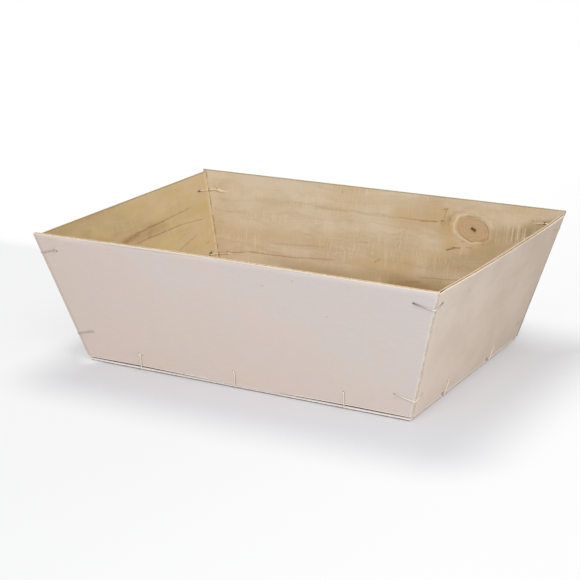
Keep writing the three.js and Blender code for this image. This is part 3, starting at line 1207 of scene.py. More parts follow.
def outside_material(wall, kind, seed):
    """A pale outer face: nearly plain, turning from its second colour to its first along x and up."""
    material, make, shader = begin_material(f"{wall}_outside")
    colours = bpy.context.scene.basket_colours
    place, parts = make.board_place()
    grain = make.group(effect("grain"), place=place, seed=seed)
    # On the ends this turn is a painted shade, darker along x
    along, up, start = TURNS[kind]
    turned = make.line(parts["Y"], up, make.line(parts["X"], along, start))
    mottle = OUTSIDE_GRAIN["mottle"]
    turned = make.plus(turned, make.span(grain["Mottle"], 0.3, 0.7, -mottle, mottle), clamp=True)
    wood = make.blend(turned, getattr(colours, f"{kind}_outside_turned"), getattr(colours, f"{kind}_outside"))
    fibre = make.span(grain["Fibre"], 0.35, 0.7, 0.0, OUTSIDE_GRAIN["fibre"])
    wood = make.blend(fibre, wood, colours.outside_fibre, "MULTIPLY")
    wood = make.tinted(wood, colours.outside_crossing, grain["Crossings"], OUTSIDE_GRAIN["crossings"])
    wood = make.tinted(wood, colours.outside_fleck, grain["Flecks"], OUTSIDE_GRAIN["flecks"])
    # A painted highlight along the foot
    fringe = make.times(make.span(parts["Y"], *FOOT_HIGHLIGHT), make.dashes(place, *FOOT_HIGHLIGHT_DASHES))
    wood = make.tinted(wood, colours.fringe, fringe, FOOT_HIGHLIGHT_STRENGTH)
    wood = streaked(make, place, wood, OUTSIDE_MARKS.get(wall, ()), colours.bruise, breaks=None)
    if wall == "front":
        low, high = (PLACES[wall].outline[2][1] / MM - off for off in RIM_BAND)
        wood = make.blend(make.span(parts["Y"], low, high, 0.0, RIM_BAND_STRENGTH), wood, colours.fringe)
    gap = end_gap(make, place, wall)
    # A painted highlight and a painted shade beside the corners
    for looks, tint in ((HIGHLIT_ENDS, colours.fringe), (SHADED_ENDS, colours.bruise)):
        if wall in looks:
            side, reach, strength = looks[wall]
            near = make.span(gap, reach, reach * SOLID_SHARE)
            on_side = make.span(parts["X"], 0.0, END_BLUR * side)
            wood = make.tinted(wood, tint, make.times(near, on_side), strength)
    if kind == "end":
        joint = make.times(make.span(gap, *JOINT_SPAN), make.dashes(place, *JOINT_DASHES))
        wood = make.tinted(wood, colours.bruise, joint, JOINT_STRENGTH)
    finish_wood(make, shader, wood, grain["Fibre"], OUTSIDE_RELIEF)
    return material


def inside_wood(make, place, seed, lean, shades="inside", scraped=SCRAPED):
    """Plain inner veneer between a light and a dark colour, with warmer patches and fine pale crossings."""
    colours = bpy.context.scene.basket_colours
    light, dark, warm = (getattr(colours, shades + end) for end in ("", "_dark", "_warm"))
    grain = make.group(effect("grain"), place=place, seed=seed)
    parts = make.split(place)
    # On the left and the back boards the lean is a painted shade
    mix = make.line(parts["Y"], lean[1], make.line(parts["X"], lean[0], lean[2]))
    for part, bounds in INSIDE_GRAIN.items():
        mix = make.plus(mix, make.span(grain[part], *bounds))
    wood = make.blend(make.plus(mix, 0.0, clamp=True), light, dark)
    patches = make.noise(make.vector("ADD", make.stretched(place, *PATCH_PITCHES), (seed, 7.0, 3.0)))
    wood = make.blend(make.span(patches, *PATCH_SPAN), wood, warm)
    wood = make.tinted(wood, colours.crossing, grain["Crossings"], scraped)
    wood = make.tinted(wood, dark, grain["Flecks"], INSIDE_FLECKS)
    return wood, grain


# Marks on the boards: x and y of the start and of the end, half width and waver in millimetres, then
# strength. First those of the back board's inner face.
BACK_LINES = (
    (-65, 86.7, -47, 85.5, 0.9, 1, 0.9),
    (-50, 85.7, -26, 86, 0.8, 1.5, 0.6),
    (-30, 86, 60, 86.3, 2.4, 3, 0.24),
    (45, 87, 86, 88.5, 1.2, 2, 0.12),
    (-87.5, 66.8, -79, 66.2, 1.1, 0.3, 0.9),
    (-82, 66.4, -73.5, 63.2, 1.5, 0.3, 1.1),
    (-91, 72.8, -86.5, 72.4, 0.9, 0.3, 0.6),
    (-98, 68.2, -91, 67.8, 0.8, 0.3, 0.55),
    (-92, 39.5, -50, 37, 1, 2, 0.45),
    (-54, 33.5, -38, 31.5, 1.8, 1, 0.6),
    (28, 42.3, 72, 38.6, 0.9, 1.5, 0.4),
    (66, 38.6, 122, 38.4, 0.9, 1, 0.7),
    (120, 37.6, 162, 32, 0.9, 1.5, 0.7),
    (34, 52.5, 100, 48.5, 1.6, 3, 0.22),
    (29.6, 104.5, 29.2, 100.5, 0.8, 0.2, 0.6),
    (-13, 48, -8, 44.5, 1.2, 0.5, 0.55),
    (-1, 61, 9, 60.5, 0.8, 0.5, 0.4),
    (-72.5, 98.4, -67.5, 97.4, 1.2, 0.3, 0.8),
    (-71, 99, -69, 89, 1.4, 1, 0.45),
    (-69.6, 88.2, -66.2, 87.2, 1.1, 0.3, 0.95),
    (-103, 94.4, -90, 94.2, 0.8, 0.5, 0.4),
    (-36, 75, -18, 69, 1.6, 2, 0.16),
)
BACK_SPECKS = (
    (-174, 96, -144, 96, 5, 2, 0.6),
    (-176, 91, -142, 82, 7, 2, 0.9),
)
# Olive wood, and a painted shade: the wide patches along the foot and the patch at the rim of the right end
BACK_OLIVE_AND_SHADE = (
    (-178, 97, -138, 88, 8, 2, 0.6),
    (-100, 27, -14, 27, 12, 2, 0.95),
    (-20, 27, 90, 27, 11, 2, 0.45),
    (-139.2, 91, -138.6, 77, 0.8, 0.3, 0.8),
    (-133.6, 90, -133.2, 76, 0.9, 0.3, 0.8),
    (-130.2, 90, -129.8, 78, 0.6, 0.3, 0.7),
    (-123, 91, -122.5, 74, 0.7, 0.3, 0.35),
    (-150, 88, -110, 80, 10, 4, 0.42),
    (-140, 74, -92, 64, 9, 4, 0.45),
    (-126, 62, -54, 46, 13, 4, 0.34),
    (-84, 36, 10, 34, 9, 4, 0.42),
    (0, 33, 110, 34, 7, 4, 0.25),
)
BACK_BROWN = (
    (-64, 30, -30, 30, 4, 1, 0.35),
    (-76, 92, -66, 84, 5, 2, 0.28),
    (-118, 76, -104, 72, 4, 2, 0.25),
)
BACK_OCHRE = (
    (-86, 90, -16, 88, 20, 4, 0.55),
    (-70, 100, -56, 86, 8, 3, 0.4),
    (-68, 86, -80, 64, 13, 4, 0.5),
    (-66, 66, -112, 66, 9, 3, 0.3),
    (-50, 46, 20, 42, 10, 3, 0.4),
)
BACK_PALE = (
    (-142.5, 91, -142, 78, 0.8, 0.5, 0.45),
    (-136.5, 93, -136, 79, 0.7, 0.5, 0.55),
    (-131.6, 89, -131, 77, 0.8, 0.5, 0.5),
    (-127.6, 93, -127, 74, 0.6, 0.5, 0.35),
    (-118, 90, -117, 74, 0.7, 0.5, 0.25),
)

# The knot's middle, its half width and height in millimetres, and its tilt in degrees
KNOT_MIDDLE = (-95.5, 83.5, 0)
KNOT_SIZE = (15.6, 10.4, 1)
KNOT_TILT = 15

# How strongly the knot squeezes the grain, how quickly and how far the grain round it wobbles, how far
# its rings wobble and how wide they are, and where it ends, in knot radii
KNOT_PULL = 0.92
WOBBLE_PITCH = 0.16
WOBBLE = (5, 4, 0)
RING_WOBBLE = 0.05
RING_WIDTH = 0.12
KNOT_RIM = (1.08, 0.9)

# Arcs round the knot: radius and half width in knot radii, heading and half span in degrees, strength
KNOT_PALE_ARCS = ((1.12, 0.11, 8, 60, 0.5), (1.03, 0.07, -95, 52, 0.6), (1.31, 0.1, 113, 42, 0.35))
KNOT_DARK_ARCS = (
    (1, 0.07, 100, 60, 0.45),
    (0.92, 0.07, -100, 70, 0.35),
    (1, 0.1, 180, 60, 0.5),
    (1.42, 0.12, 5, 60, 0.22),
)

# The knot's heart: a brown patch, and the dark pith in it
KNOT_HEART = ((-99.5, 82.2, -93.9, 85, 4, 0, 0.45),)
KNOT_PITH = ((-99.3, 82.3, -94.2, 84.9, 1.9, 0, 1),)

# A painted highlight beside the front right corner and a painted shade beside the front's left end: which end
# of the wall, how far it reaches, its strength
HIGHLIT_ENDS = {"front": (1, 2.2, 0.2), "right": (-1, 4, 0.15)}
SHADED_ENDS = {"front": (-1, 4, 0.14)}
SOLID_SHARE = 0.4
END_BLUR = 20

# Specks of the outer faces, a painted shade at the front's upper left corner, and a painted shadow beside the
# right board's foot wires
OUTSIDE_MARKS = {
    "front": (
        (57.4, 100, 59.2, 100.4, 0.9, 0, 0.3),
        (30, 92.4, 33, 91.8, 0.9, 0, 0.22),
        (83.2, 75, 84.8, 75.2, 0.8, 0, 0.25),
        (-178, 107, -150, 106, 3.4, 0.3, 0.08),
        # painted shade at the upper left corner
        (-178.5, 110, -175, 104, 1.4, 0, 0.3),
    ),
    "right": (
        (-64, 96, -60, 92, 1, 0.5, 0.22),
        # painted shadow beside the two foot wires
        (-51, 1.4, -46.5, 1.2, 1.9, 0, 0.9),
        (34, 1.2, 38.5, 1, 2.1, 0, 0.9),
        (91, 1.2, 98, 1.2, 2, 0, 0.35),
    ),
}

# Lines of the left board's inner face
LEFT_LINES = (
    (-86, 82.3, -38, 80, 0.8, 1.5, 0.6),
    (-44, 80.3, 4, 78.6, 1.1, 1.5, 0.8),
    (-4, 78.6, 26, 75, 3.4, 2, 0.6),
    (-102, 68, -58, 71.4, 0.7, 1.5, 0.6),
    (-64, 71.2, -18, 71, 0.9, 1.5, 0.75),
    (-24, 71.4, 8, 70.6, 1.2, 1.5, 0.55),
    (-84, 57.5, -50, 50, 1.2, 2, 0.4),
    (-24, 82, -12, 70, 5, 3, 0.25),
)
LEFT_YELLOW = (
    (-112, 82, -92, 73, 8, 3, 0.55),
    (-70, 66, -40, 62, 6, 3, 0.55),
    (-84, 104, -58, 98, 5, 3, 0.35),
    (34, 84, 60, 98, 9, 3, 0.5),
)
LEFT_BROWN = ((-48, 76.5, 30, 75.5, 9, 2, 0.34),)
LEFT_DARK = (
    (-98, 36.8, -92, 35.2, 2.2, 0, 0.9),
    (-107.5, 92.9, -100.5, 92.7, 1.6, 0, 0.9),
    (-97, 46.6, -92.5, 46, 0.7, 0.3, 0.5),
)
LEFT_PALE = ((-103.5, 58, -100, 49.5, 0.7, 0.3, 0.6), (-100, 92.3, -110, 90.6, 0.5, 0.3, 0.6))

# How a mark is broken: size of the breaks along and across the grain, and how open they are
GRAIN_BREAKS = (0.35, 1.2, 0.3, 0.5)
SPECKLES = (0.9, 1.1, 0.46, 0.6)

# Layers of marks on the inner faces, from the lowest up: colour, breaks and marks
LAYERS = {
    "left": (
        ("left_inside_warm", None, LEFT_YELLOW),
        ("heartwood", None, LEFT_BROWN),
        ("heartwood", GRAIN_BREAKS, LEFT_LINES),
        ("pith", None, LEFT_DARK),
        ("crossing", GRAIN_BREAKS, LEFT_PALE),
    ),
    "back": (
        ("olive", None, BACK_OLIVE_AND_SHADE),
        ("ochre", None, BACK_OCHRE),
        ("heartwood", None, BACK_BROWN),
        ("heartwood", GRAIN_BREAKS, BACK_LINES),
        ("pith", SPECKLES, BACK_SPECKS),
        ("crossing", None, BACK_PALE),
    ),
    "knot": (("heartwood", None, KNOT_HEART), ("pith", None, KNOT_PITH)),
}


def layered(make, place, wood, layers):
    """Wood with layers of marks."""
    for tint, breaks, marks in LAYERS[layers]:
        wood = streaked(make, place, wood, marks, getattr(bpy.context.scene.basket_colours, tint), breaks)
    return wood


def streaked(make, place, wood, marks, tint, breaks):
    """Wood with marks in one colour. Marks without breaks are soft patches."""
    flat = make.stretched(place)
    swing = make.minus(make.noise(flat, 0.09), 0.5)
    broken = 1.0
    if breaks:
        along, across, *bounds = breaks
        broken = make.span(make.noise(make.stretched(flat, along, across)), *bounds)
    for *ends, half_width, waver, strength in marks:
        line = {"start": (*ends[:2], 0), "end": (*ends[2:], 0), "half_width": half_width, "broken": broken}
        mask = make.group(effect("streak"), place=place, swing=make.times(swing, waver), **line)["Mask"]
        wood = make.tinted(wood, tint, mask, strength)
    return wood


def arced(make, local, wood, arcs, tint):
    """Wood with parts of rings round a knot in one colour."""
    for radius, half_width, heading, span, strength in arcs:
        toward = (math.cos(math.radians(heading)), math.sin(math.radians(heading)), 0)
        arc = {"radius": radius, "half_width": half_width, "spread": math.cos(math.radians(span))}
        mask = make.group(effect("arc"), local=local, toward=toward, **arc)["Mask"]
        wood = make.tinted(wood, tint, mask, strength)
    return wood


def rim_shaded(make, parts, wood, wall):
    """Wood with a painted grey shade just below the rim."""
    height = PLACES[wall].outline[2][1] / MM
    low, high = (height - off for off in RIM_SHADE_SPAN)
    shade = make.span(parts["Y"], low, high, 0.0, RIM_SHADE_STRENGTH)
    return make.blend(shade, wood, bpy.context.scene.basket_colours.rim_shade)


def plain_inside_material(name, seed):
    """An inner face without marks of its own."""
    material, make, shader = begin_material(f"{name}_inside")
    wood, grain = inside_wood(make, make.board_place()[0], seed, PLAIN_LEAN)
    finish_wood(make, shader, wood, grain["Fibre"], INSIDE_RELIEF)
    return material


def left_inside_material(seed):
    """The left board's inner face, with its own marks and a pale scraped band at its ends."""
    material, make, shader = begin_material("left_inside")
    colours = bpy.context.scene.basket_colours
    place, parts = make.board_place()
    wood, grain = inside_wood(make, place, seed, LEFT_SHADE_LEAN, "left_inside", LEFT_SCRAPED)
    wood = layered(make, place, wood, "left")
    gap = end_gap(make, place, "left")
    band = make.larger(*(make.span(gap, *bounds) for bounds in LEFT_BANDS))
    wood = make.blend(band, wood, colours.crossing)
    line = make.span(make.size(make.minus(gap, LEFT_LINE_PLACE)), *LEFT_LINE_SPAN)
    line = make.times(line, make.dashes(place, *LEFT_LINE_DASHES))
    wood = make.tinted(wood, colours.heartwood, line, LEFT_LINE_STRENGTH)
    wood = rim_shaded(make, parts, wood, "left")
    finish_wood(make, shader, wood, grain["Fibre"], INSIDE_RELIEF)
    return material


def back_inside_material():
    """The back board's inner face: the grain flows round one oval knot."""
    material, make, shader = begin_material("back_inside")
    colours = bpy.context.scene.basket_colours
    place, parts = make.board_place()
    wobble = make.noise(place, WOBBLE_PITCH, 3.0, output="Color")
    wobble = make.vector("MULTIPLY", make.vector("SUBTRACT", wobble, (0.5, 0.5, 0.5)), WOBBLE)
    knot = {"middle": KNOT_MIDDLE, "size": KNOT_SIZE, "tilt": math.radians(KNOT_TILT), "pull": KNOT_PULL}
    flow = make.group(effect("knot"), place=make.vector("ADD", place, wobble), **knot)
    wood, grain = inside_wood(make, flow["Place"], BACK_SEED, BACK_SHADE_LEAN)
    wood = layered(make, place, wood, "back")
    rings = make.plus(flow["Rings"], make.span(make.noise(place, 0.25), 0.3, 0.7, -RING_WOBBLE, RING_WOBBLE))
    swirl = make.span(make.maths("PINGPONG", rings, RING_WIDTH), 0.0, RING_WIDTH)
    heart = make.blend(swirl, colours.knot_pale, colours.knot_dark)
    wood = make.blend(make.span(rings, *KNOT_RIM), wood, heart)
    wood = arced(make, flow["Local"], wood, KNOT_DARK_ARCS, colours.heartwood)
    wood = arced(make, flow["Local"], wood, KNOT_PALE_ARCS, colours.crossing)
    wood = layered(make, place, wood, "knot")
    wood = rim_shaded(make, parts, wood, "back")
    gap = end_gap(make, place, "back")
    joint = make.times(make.span(gap, *BACK_JOINT_SPAN), make.dashes(place, *BACK_JOINT_DASHES))
    joint = make.times(joint, make.span(parts["X"], *BACK_JOINT_SIDE))
    wood = make.blend(joint, wood, colours.heartwood)
    finish_wood(make, shader, wood, grain["Fibre"], INSIDE_RELIEF)
    return material


def base_above_material():
    """The base board's upper face, dark where it runs under the walls."""
    material, make, shader = begin_material("base_above")
    place, parts = make.board_place()
    wood, grain = inside_wood(make, place, BASE_ABOVE_SEED, BASE_LEAN)
    halves = zip(PLACES["base"].outline[2], "XY")
    gaps = [make.minus(half / MM, make.size(parts[axis])) for half, axis in halves]
    shade = make.span(make.maths("MINIMUM", *gaps), *UNDER_WALLS)
    wood = make.tinted(wood, bpy.context.scene.basket_colours.crevice, shade, UNDER_WALLS_STRENGTH)
    finish_wood(make, shader, wood, grain["Fibre"], INSIDE_RELIEF)
    return material


# A cut edge: how quickly its streaks change along and across it, how softly the core ply and the veneers
# meet, how strong the core's colour, its missing stretches and the streaks are, where those stretches
# begin, how near the end grain starts, and how deep its cracks reach. The missing stretches are a painted
# shade.
STREAK_PITCHES = (0.35, 2.2)
CORE_BLUR = (0.12, 0.06)
VENEER_BLUR = 0.1
CORE_STRENGTH = 0.85
GAP_STRENGTH = 0.85
STREAK_SPAN = (0.5, 0.8, 0.0, 0.25)
GAP_SPAN = (0.64, 0.7)
END_GRAIN_SPAN = (1.4, 0.7)
CRACK_SPAN = (1.5, 0.9, 0.0, 0.35)


def ply_edge_material(name, plies, core_span, thickness, ends=None, gap_at=None, wobble=0.14, speckle=0.0):
    """A cut edge of three plies, from the outer to the inner one, with fine streaks along the cut.

    Ends are a wall's name and the two colours of its end grain. Gap_at is where the core ply is missing,
    painted as shade.
    Wobble is how far the plies wander, in millimetres.
    """
    outer, core, inner = plies
    material, make, shader = begin_material(name)
    colours = bpy.context.scene.basket_colours
    place, parts = make.board_place()
    along = make.plus(parts["X"], parts["Y"])
    pitch_along, pitch_across = STREAK_PITCHES
    cut_place = make.join(X=make.times(along, pitch_along), Y=make.times(parts["Z"], pitch_across))
    streaks = make.noise(cut_place, detail=3.0)
    depth = make.plus(parts["Z"], make.span(streaks, 0.3, 0.7, -wobble, wobble))
    start, end = (share * thickness / MM for share in core_span)
    before, behind = CORE_BLUR
    past_outer = make.span(depth, start - before, start + behind)
    in_core = make.times(past_outer, make.span(depth, end + before, end - behind))
    in_inner = make.span(depth, end - VENEER_BLUR, end + VENEER_BLUR)
    # The core's missing stretches, painted in shade
    holes = make.times(in_core, make.span(make.noise(along, 0.05), *GAP_SPAN))
    if gap_at:
        missing = make.span(parts["X"], gap_at[0] - 1, gap_at[0])
        missing = make.times(missing, make.span(parts["X"], gap_at[1], gap_at[1] - 3))
        holes = make.larger(holes, make.times(in_core, missing))
    if ends:
        wall, end_pale, end_dark = ends
        at_end = make.span(end_gap(make, place, wall), *END_GRAIN_SPAN)
        outer, inner = (make.blend(at_end, veneer, end_pale) for veneer in (outer, inner))
        core = make.blend(at_end, core, end_dark)
        if wall in SIDES:
            crack = make.times(at_end, make.dashes(place, *JOINT_DASHES))
            holes = make.larger(holes, make.times(crack, make.span(parts["Z"], *CRACK_SPAN)))
    wood = make.blend(in_inner, outer, inner)
    wood = make.tinted(wood, core, in_core, CORE_STRENGTH)
    wood = make.blend(make.span(streaks, *STREAK_SPAN), wood, core)
    specks = make.times(in_core, make.span(make.noise(along, 0.45), 0.45, 0.6, 0.0, speckle))
    wood = make.blend(specks, wood, colours.heartwood)
    wood = make.tinted(wood, colours.crevice, holes, GAP_STRENGTH)
    finish_wood(make, shader, wood, streaks, EDGE_RELIEF, EDGE_ROUGHNESS)
    return material


def wire_material(colours):
    """Drawn steel wire with a waxy bloom, a painted shade and dark reflection on the arms of the corner
    staples, and a painted reflection of the warm wood inside.
    """
    material, make, shader = begin_material("staple_wire")
    spots = make.noise(make.result("ShaderNodeTexCoord", output="Object"), 900.0, 3.0)
    wire_darkening = make.plus(make.stored("dullness"), make.span(spots, 0.45, 0.75, 0.0, 0.3), clamp=True)
    metal = make.blend(wire_darkening, colours.wire, colours.wire_dull)
    metal = make.blend(make.stored("inside"), metal, colours.wire_inside)
    make.feed(shader.inputs["Base Color"], metal)
    make.feed(shader.inputs["Roughness"], make.span(spots, 0.3, 0.7, 0.34, 0.5))
    shader.inputs["Metallic"].default_value = 0.15
    return material


# Staple wire

def sweep_tree():
    """Geometry Nodes: rounds a wire's path at its bends and sweeps it into a wire with nipped tips."""
    tree = bpy.data.node_groups.new("Bent wire", "GeometryNodeTree")
    sockets = {
        "Geometry": "Geometry", "Wire Radius": "Float", "Bend Radius": "Float", "Tip Length": "Float",
        "Tip Share": "Float", "Bend Points": "Int", "Ring Points": "Int", "Material": "Material",
    }
    for label, kind in sockets.items():
        tree.interface.new_socket(label, in_out="INPUT", socket_type=f"NodeSocket{kind}")
    tree.interface.new_socket("Geometry", in_out="OUTPUT", socket_type="NodeSocketGeometry")
    make = NodeMaker(tree)
    given = tree.nodes.new("NodeGroupInput").outputs
    curve = make.result("GeometryNodeMeshToCurve", {"Mesh": given["Geometry"]})
    bends = {"Curve": curve, "Radius": given["Bend Radius"], "Count": given["Bend Points"]}
    rounded = make.result("GeometryNodeFilletCurve", bends, mode="POLY")
    from_start = make.result("GeometryNodeSplineParameter", output="Length")
    whole = make.result("GeometryNodeSplineLength", output="Length")
    from_tip = make.maths("MINIMUM", from_start, make.minus(whole, from_start))
    width = make.span(from_tip, 0.0, given["Tip Length"], given["Tip Share"], 1.0, smooth=False)
    tapered = make.result("GeometryNodeSetCurveRadius", {"Curve": rounded, "Radius": width})
    circle = {"Resolution": given["Ring Points"], "Radius": given["Wire Radius"]}
    section = make.result("GeometryNodeCurvePrimitiveCircle", circle, "Curve")
    sweep = {"Curve": tapered, "Profile Curve": section, "Fill Caps": True}
    wire = make.result("GeometryNodeCurveToMesh", sweep)
    wire = make.result("GeometryNodeRealizeInstances", {"Geometry": wire})
    dressed = make.result("GeometryNodeSetMaterial", {"Geometry": wire, "Material": given["Material"]})
    return close_group(tree, geometry=dressed)


def wire_object(staple, tree, settings, material):
    """A staple swept along its path, as a plain mesh."""
    points = staple.path(settings)
    line = bpy.data.meshes.new(f"{staple.name}_path")
    line.from_pydata([point[:] for point in points], [(i, i + 1) for i in range(len(points) - 1)], [])
    carrier = new_object(f"{staple.name}_path", line)
    modifier = carrier.modifiers.new("Bent wire", "NODES")
    modifier.node_group = tree
    values = {
        "Wire Radius": settings.wire_diameter / 2,
        "Bend Radius": settings.bend_radius,
        "Tip Length": settings.tip_length,
        "Tip Share": settings.tip_share,
        "Bend Points": settings.bend_points,
        "Ring Points": settings.ring_points,
        "Material": material,
    }
    for item in tree.interface.items_tree:
        if item.in_out == "INPUT" and item.name in values:
            modifier[item.identifier] = values[item.name]
    ready = carrier.evaluated_get(bpy.context.evaluated_depsgraph_get())
    mesh = bpy.data.meshes.new_from_object(ready)
    mesh.name = f"{staple.name}_wire"
    bpy.data.objects.remove(carrier)
    shape = bmesh.new()
    shape.from_mesh(mesh)
    bmesh.ops.remove_doubles(shape, verts=shape.verts, dist=WELD_DISTANCE)
    bmesh.ops.recalc_face_normals(shape, faces=shape.faces)
    shape.to_mesh(mesh)
    shape.free()
    mesh.shade_smooth()
    mesh.set_sharp_from_angle(angle=WIRE_SHARPNESS)
    points = np.array([vertex.co[:] for vertex in mesh.vertices])
    dullness, inside = staple.looks(points, settings.bright_length)
    store(mesh, "dullness", dullness)
    store(mesh, "inside", inside)
    return new_object(f"{staple.name}_wire", mesh)


# How the plies wander in a side board's edge, in millimetres, and how strongly its core is speckled
SIDE_EDGE = {"wobble": 0.36, "speckle": 0.6}

# How much the sloping ends wander, in shares of the usual
END_WANDERS = {"side": 0.4, "end": 1.2}


def edge_materials(colours):
    """The cut edges of the wall boards. The two ends share one."""
    thickness = PLACES["front"].thickness
    side_plies = (colours.outer_veneer, colours.core_edge, colours.side_inner_veneer)
    end_plies = (colours.end_outer_veneer, colours.end_core_edge, colours.end_inner_veneer)
    ends = {
        "front": ("front", colours.end_grain, colours.end_grain_dark),
        "back": ("back", colours.back_end_grain, colours.back_end_grain_dark),
    }
    edges = {
        wall: ply_edge_material(
            f"{wall}_edge", side_plies, CORE_SPANS["side"], thickness, ends[wall], **SIDE_EDGE
        )
        for wall in SIDES
    }
    end_edge = ply_edge_material("end_edge", end_plies, CORE_SPANS["end"], thickness, gap_at=CORE_GAP)
    return {**edges, "left": end_edge, "right": end_edge}


class BASKET_OT_wall_boards(bpy.types.Operator):
    """Makes the four wall boards."""

    bl_idname = "basket.wall_boards"
    bl_label = "Wall boards"

    def execute(self, context):
        scene = context.scene
        settings, wires = scene.basket_boards, scene.basket_staples
        staples = corner_staples(wires) + foot_staples(wires)
        edges = edge_materials(scene.basket_colours)
        for order, wall in enumerate(FACINGS):
            place = PLACES[wall]
            kind = "side" if wall in SIDES else "end"
            marks = wire_marks(wall, staples, wires, settings)
            corners = chipped(place.outline, settings.corner_chip) if wall == "front" else place.outline
            bend = BENDS[wall](place, settings) if wall in BENDS else None
            shape = (corners, CORE_SPANS[kind], marks, settings, order, bend, END_WANDERS[kind])
            mesh = board_mesh(f"{wall}_board", place, *shape)
            seed = order * WALL_SEEDS
            outside = outside_material(wall, kind, seed)
            if wall == "back":
                inside = back_inside_material()
            elif wall == "left":
                inside = left_inside_material(seed + INSIDE_SEED)
            else:
                inside = plain_inside_material(wall, seed + INSIDE_SEED)
            board = new_object(f"{wall}_board", mesh, (outside, edges[wall], inside))
            place_piece(board, f"{wall}_panel")
        return {"FINISHED"}


# The part of a wire's groove that is pressed to its full depth, and the base board's wider grooves:
# their room beside the wire, their slope and their room above it
FLAT_SHARE = 0.75
BASE_GROOVE_ROOM = 0.15 * MM
BASE_GROOVE_SLOPE = 0.05 * MM
BASE_GROOVE_DEPTH = 0.2 * MM


def wire_marks(board, staples, wires, boards):
    """The dents and the holes that the staples make in a board."""
    pressings, holes = [], []
    wire_radius = wires.wire_diameter / 2
    for staple in staples:
        at_foot = staple.arms[1].board == "base"
        for arm in staple.arms:
            if arm.board != board:
                continue
            if board == "base":
                deep = wires.wire_diameter + wires.recess + BASE_GROOVE_DEPTH
                dent = (wire_radius + BASE_GROOVE_ROOM, BASE_GROOVE_SLOPE, deep)
            else:
                chord = math.sqrt(wire_radius**2 - arm.lift**2)
                shades = boards.foot_groove_shades if at_foot else boards.groove_shades
                inside_shade = 0.0 if at_foot else boards.inside_groove_shade
                deep = wire_radius - arm.lift + boards.groove_room
                slope = (1 - FLAT_SHARE) * chord + boards.groove_room
                dent = (FLAT_SHARE * chord, slope, deep, shades[:], inside_shade)
            corners = staple.on_board(arm)
            holes.append(np.array(corners[-1][:]))
            pressings.append(Pressing(*corners[:2], *dent))
            pressings += [Pressing(start, end, *dent[:3]) for start, end in zip(corners[1:], corners[2:])]
    return pressings, holes


def chipped(outline, chip):
    """An outline whose lower left corner is broken off, less far up its end."""
    corner, lower_right, *_, upper_left = (Vector(point) for point in outline)
    along_foot = corner + (lower_right - corner).normalized() * chip
    up_end = corner + (upper_left - corner).normalized() * chip * 0.8
    return [up_end[:], along_foot[:], *outline[1:]]


# The gaps below the front board's foot, in millimetres from its middle: the side, where the gap starts,
# how far it takes to open and to close again, and the share that stays open at the end
FOOT_GAPS = ((-1, 24, 10, 8, 0.4), (1, 36, 14, 10, 0.6))
FOOT_GAP_END = 146

# How the foot's lift varies along the board: its least, its range, its knots and its seed
FOOT_ROUGHNESS = (0.9, 0.25)
FOOT_KNOTS = 90
FOOT_SEED = 5

# How fast the lift falls off through the board's thickness, and how far up the board it reaches
FOOT_TILT = 1.4
FOOT_REACH = 8 * MM

# Where the front's rim bows in most, in shares of half its length
BOW_MIDDLE = -0.2

# How much of the right rim's sag there is, along the board in millimetres
RIGHT_RIM = (
    (-118, 0.0), (-108, 0.0), (-90, 0.28), (-54, 0.7), (-18, 0.95), (18, 1.06), (54, 1.1), (90, 1.0),
    (118, 0.7),
)


def front_bend(place, settings):
    """Moves the front board's points: the foot lifts off the base towards both ends, the rim bows in."""
    rim_half, height = place.outline[2]
    knots = np.linspace(-rim_half, rim_half, FOOT_KNOTS)
    least, spread = FOOT_ROUGHNESS
    rough = least + spread * np.random.default_rng(FOOT_SEED).random(FOOT_KNOTS)

    def bend(vertices):
        x, y = vertices[:, 0], vertices[:, 1]
        gap = np.zeros(len(x))
        for side, start, opening, closing, least_open in FOOT_GAPS:
            opened = ((side * x - start * MM) / (opening * MM)).clip(0, 1)
            left_open = ((FOOT_GAP_END * MM - side * x) / (closing * MM)).clip(least_open, 1)
            gap = np.maximum(gap, opened * left_open)
        rise = settings.foot_rise * gap * np.interp(x, knots, rough) - settings.foot_drop * (1 - gap)
        tilt = 1 - FOOT_TILT * vertices[:, 2] / place.thickness
        moved = np.zeros_like(vertices)
        moved[:, 1] = rise * tilt * (1 - y / FOOT_REACH).clip(0, 1)
        half = np.where(x < BOW_MIDDLE * rim_half, (1 + BOW_MIDDLE) * rim_half, (1 - BOW_MIDDLE) * rim_half)
        off_middle = (x - BOW_MIDDLE * rim_half) / half
        moved[:, 2] = settings.rim_bow * (1 - off_middle**2).clip(0, 1) ** 2 * (y / height).clip(0, 1) ** 2
        moved[:, 1] += moved[:, 2] * place.out.z / place.up.z
        return moved

    return bend


def right_bend(place, settings):
    """Moves the right board's points: its rim sags and stands off, most of all towards the back."""
    height = place.outline[2][1]

    def bend(vertices):
        share = np.interp(vertices[:, 0] / MM, *zip(*RIGHT_RIM))
        share *= (2 * vertices[:, 1] / height - 1).clip(0, 1) ** 4
        moved = np.zeros_like(vertices)
        moved[:, 1] = -settings.rim_sag * place.up.z * share
        moved[:, 2] = -(settings.rim_sag * -place.out.z + settings.rim_stand) * share
        return moved

    return bend


BENDS = {"front": front_bend, "right": right_bend}


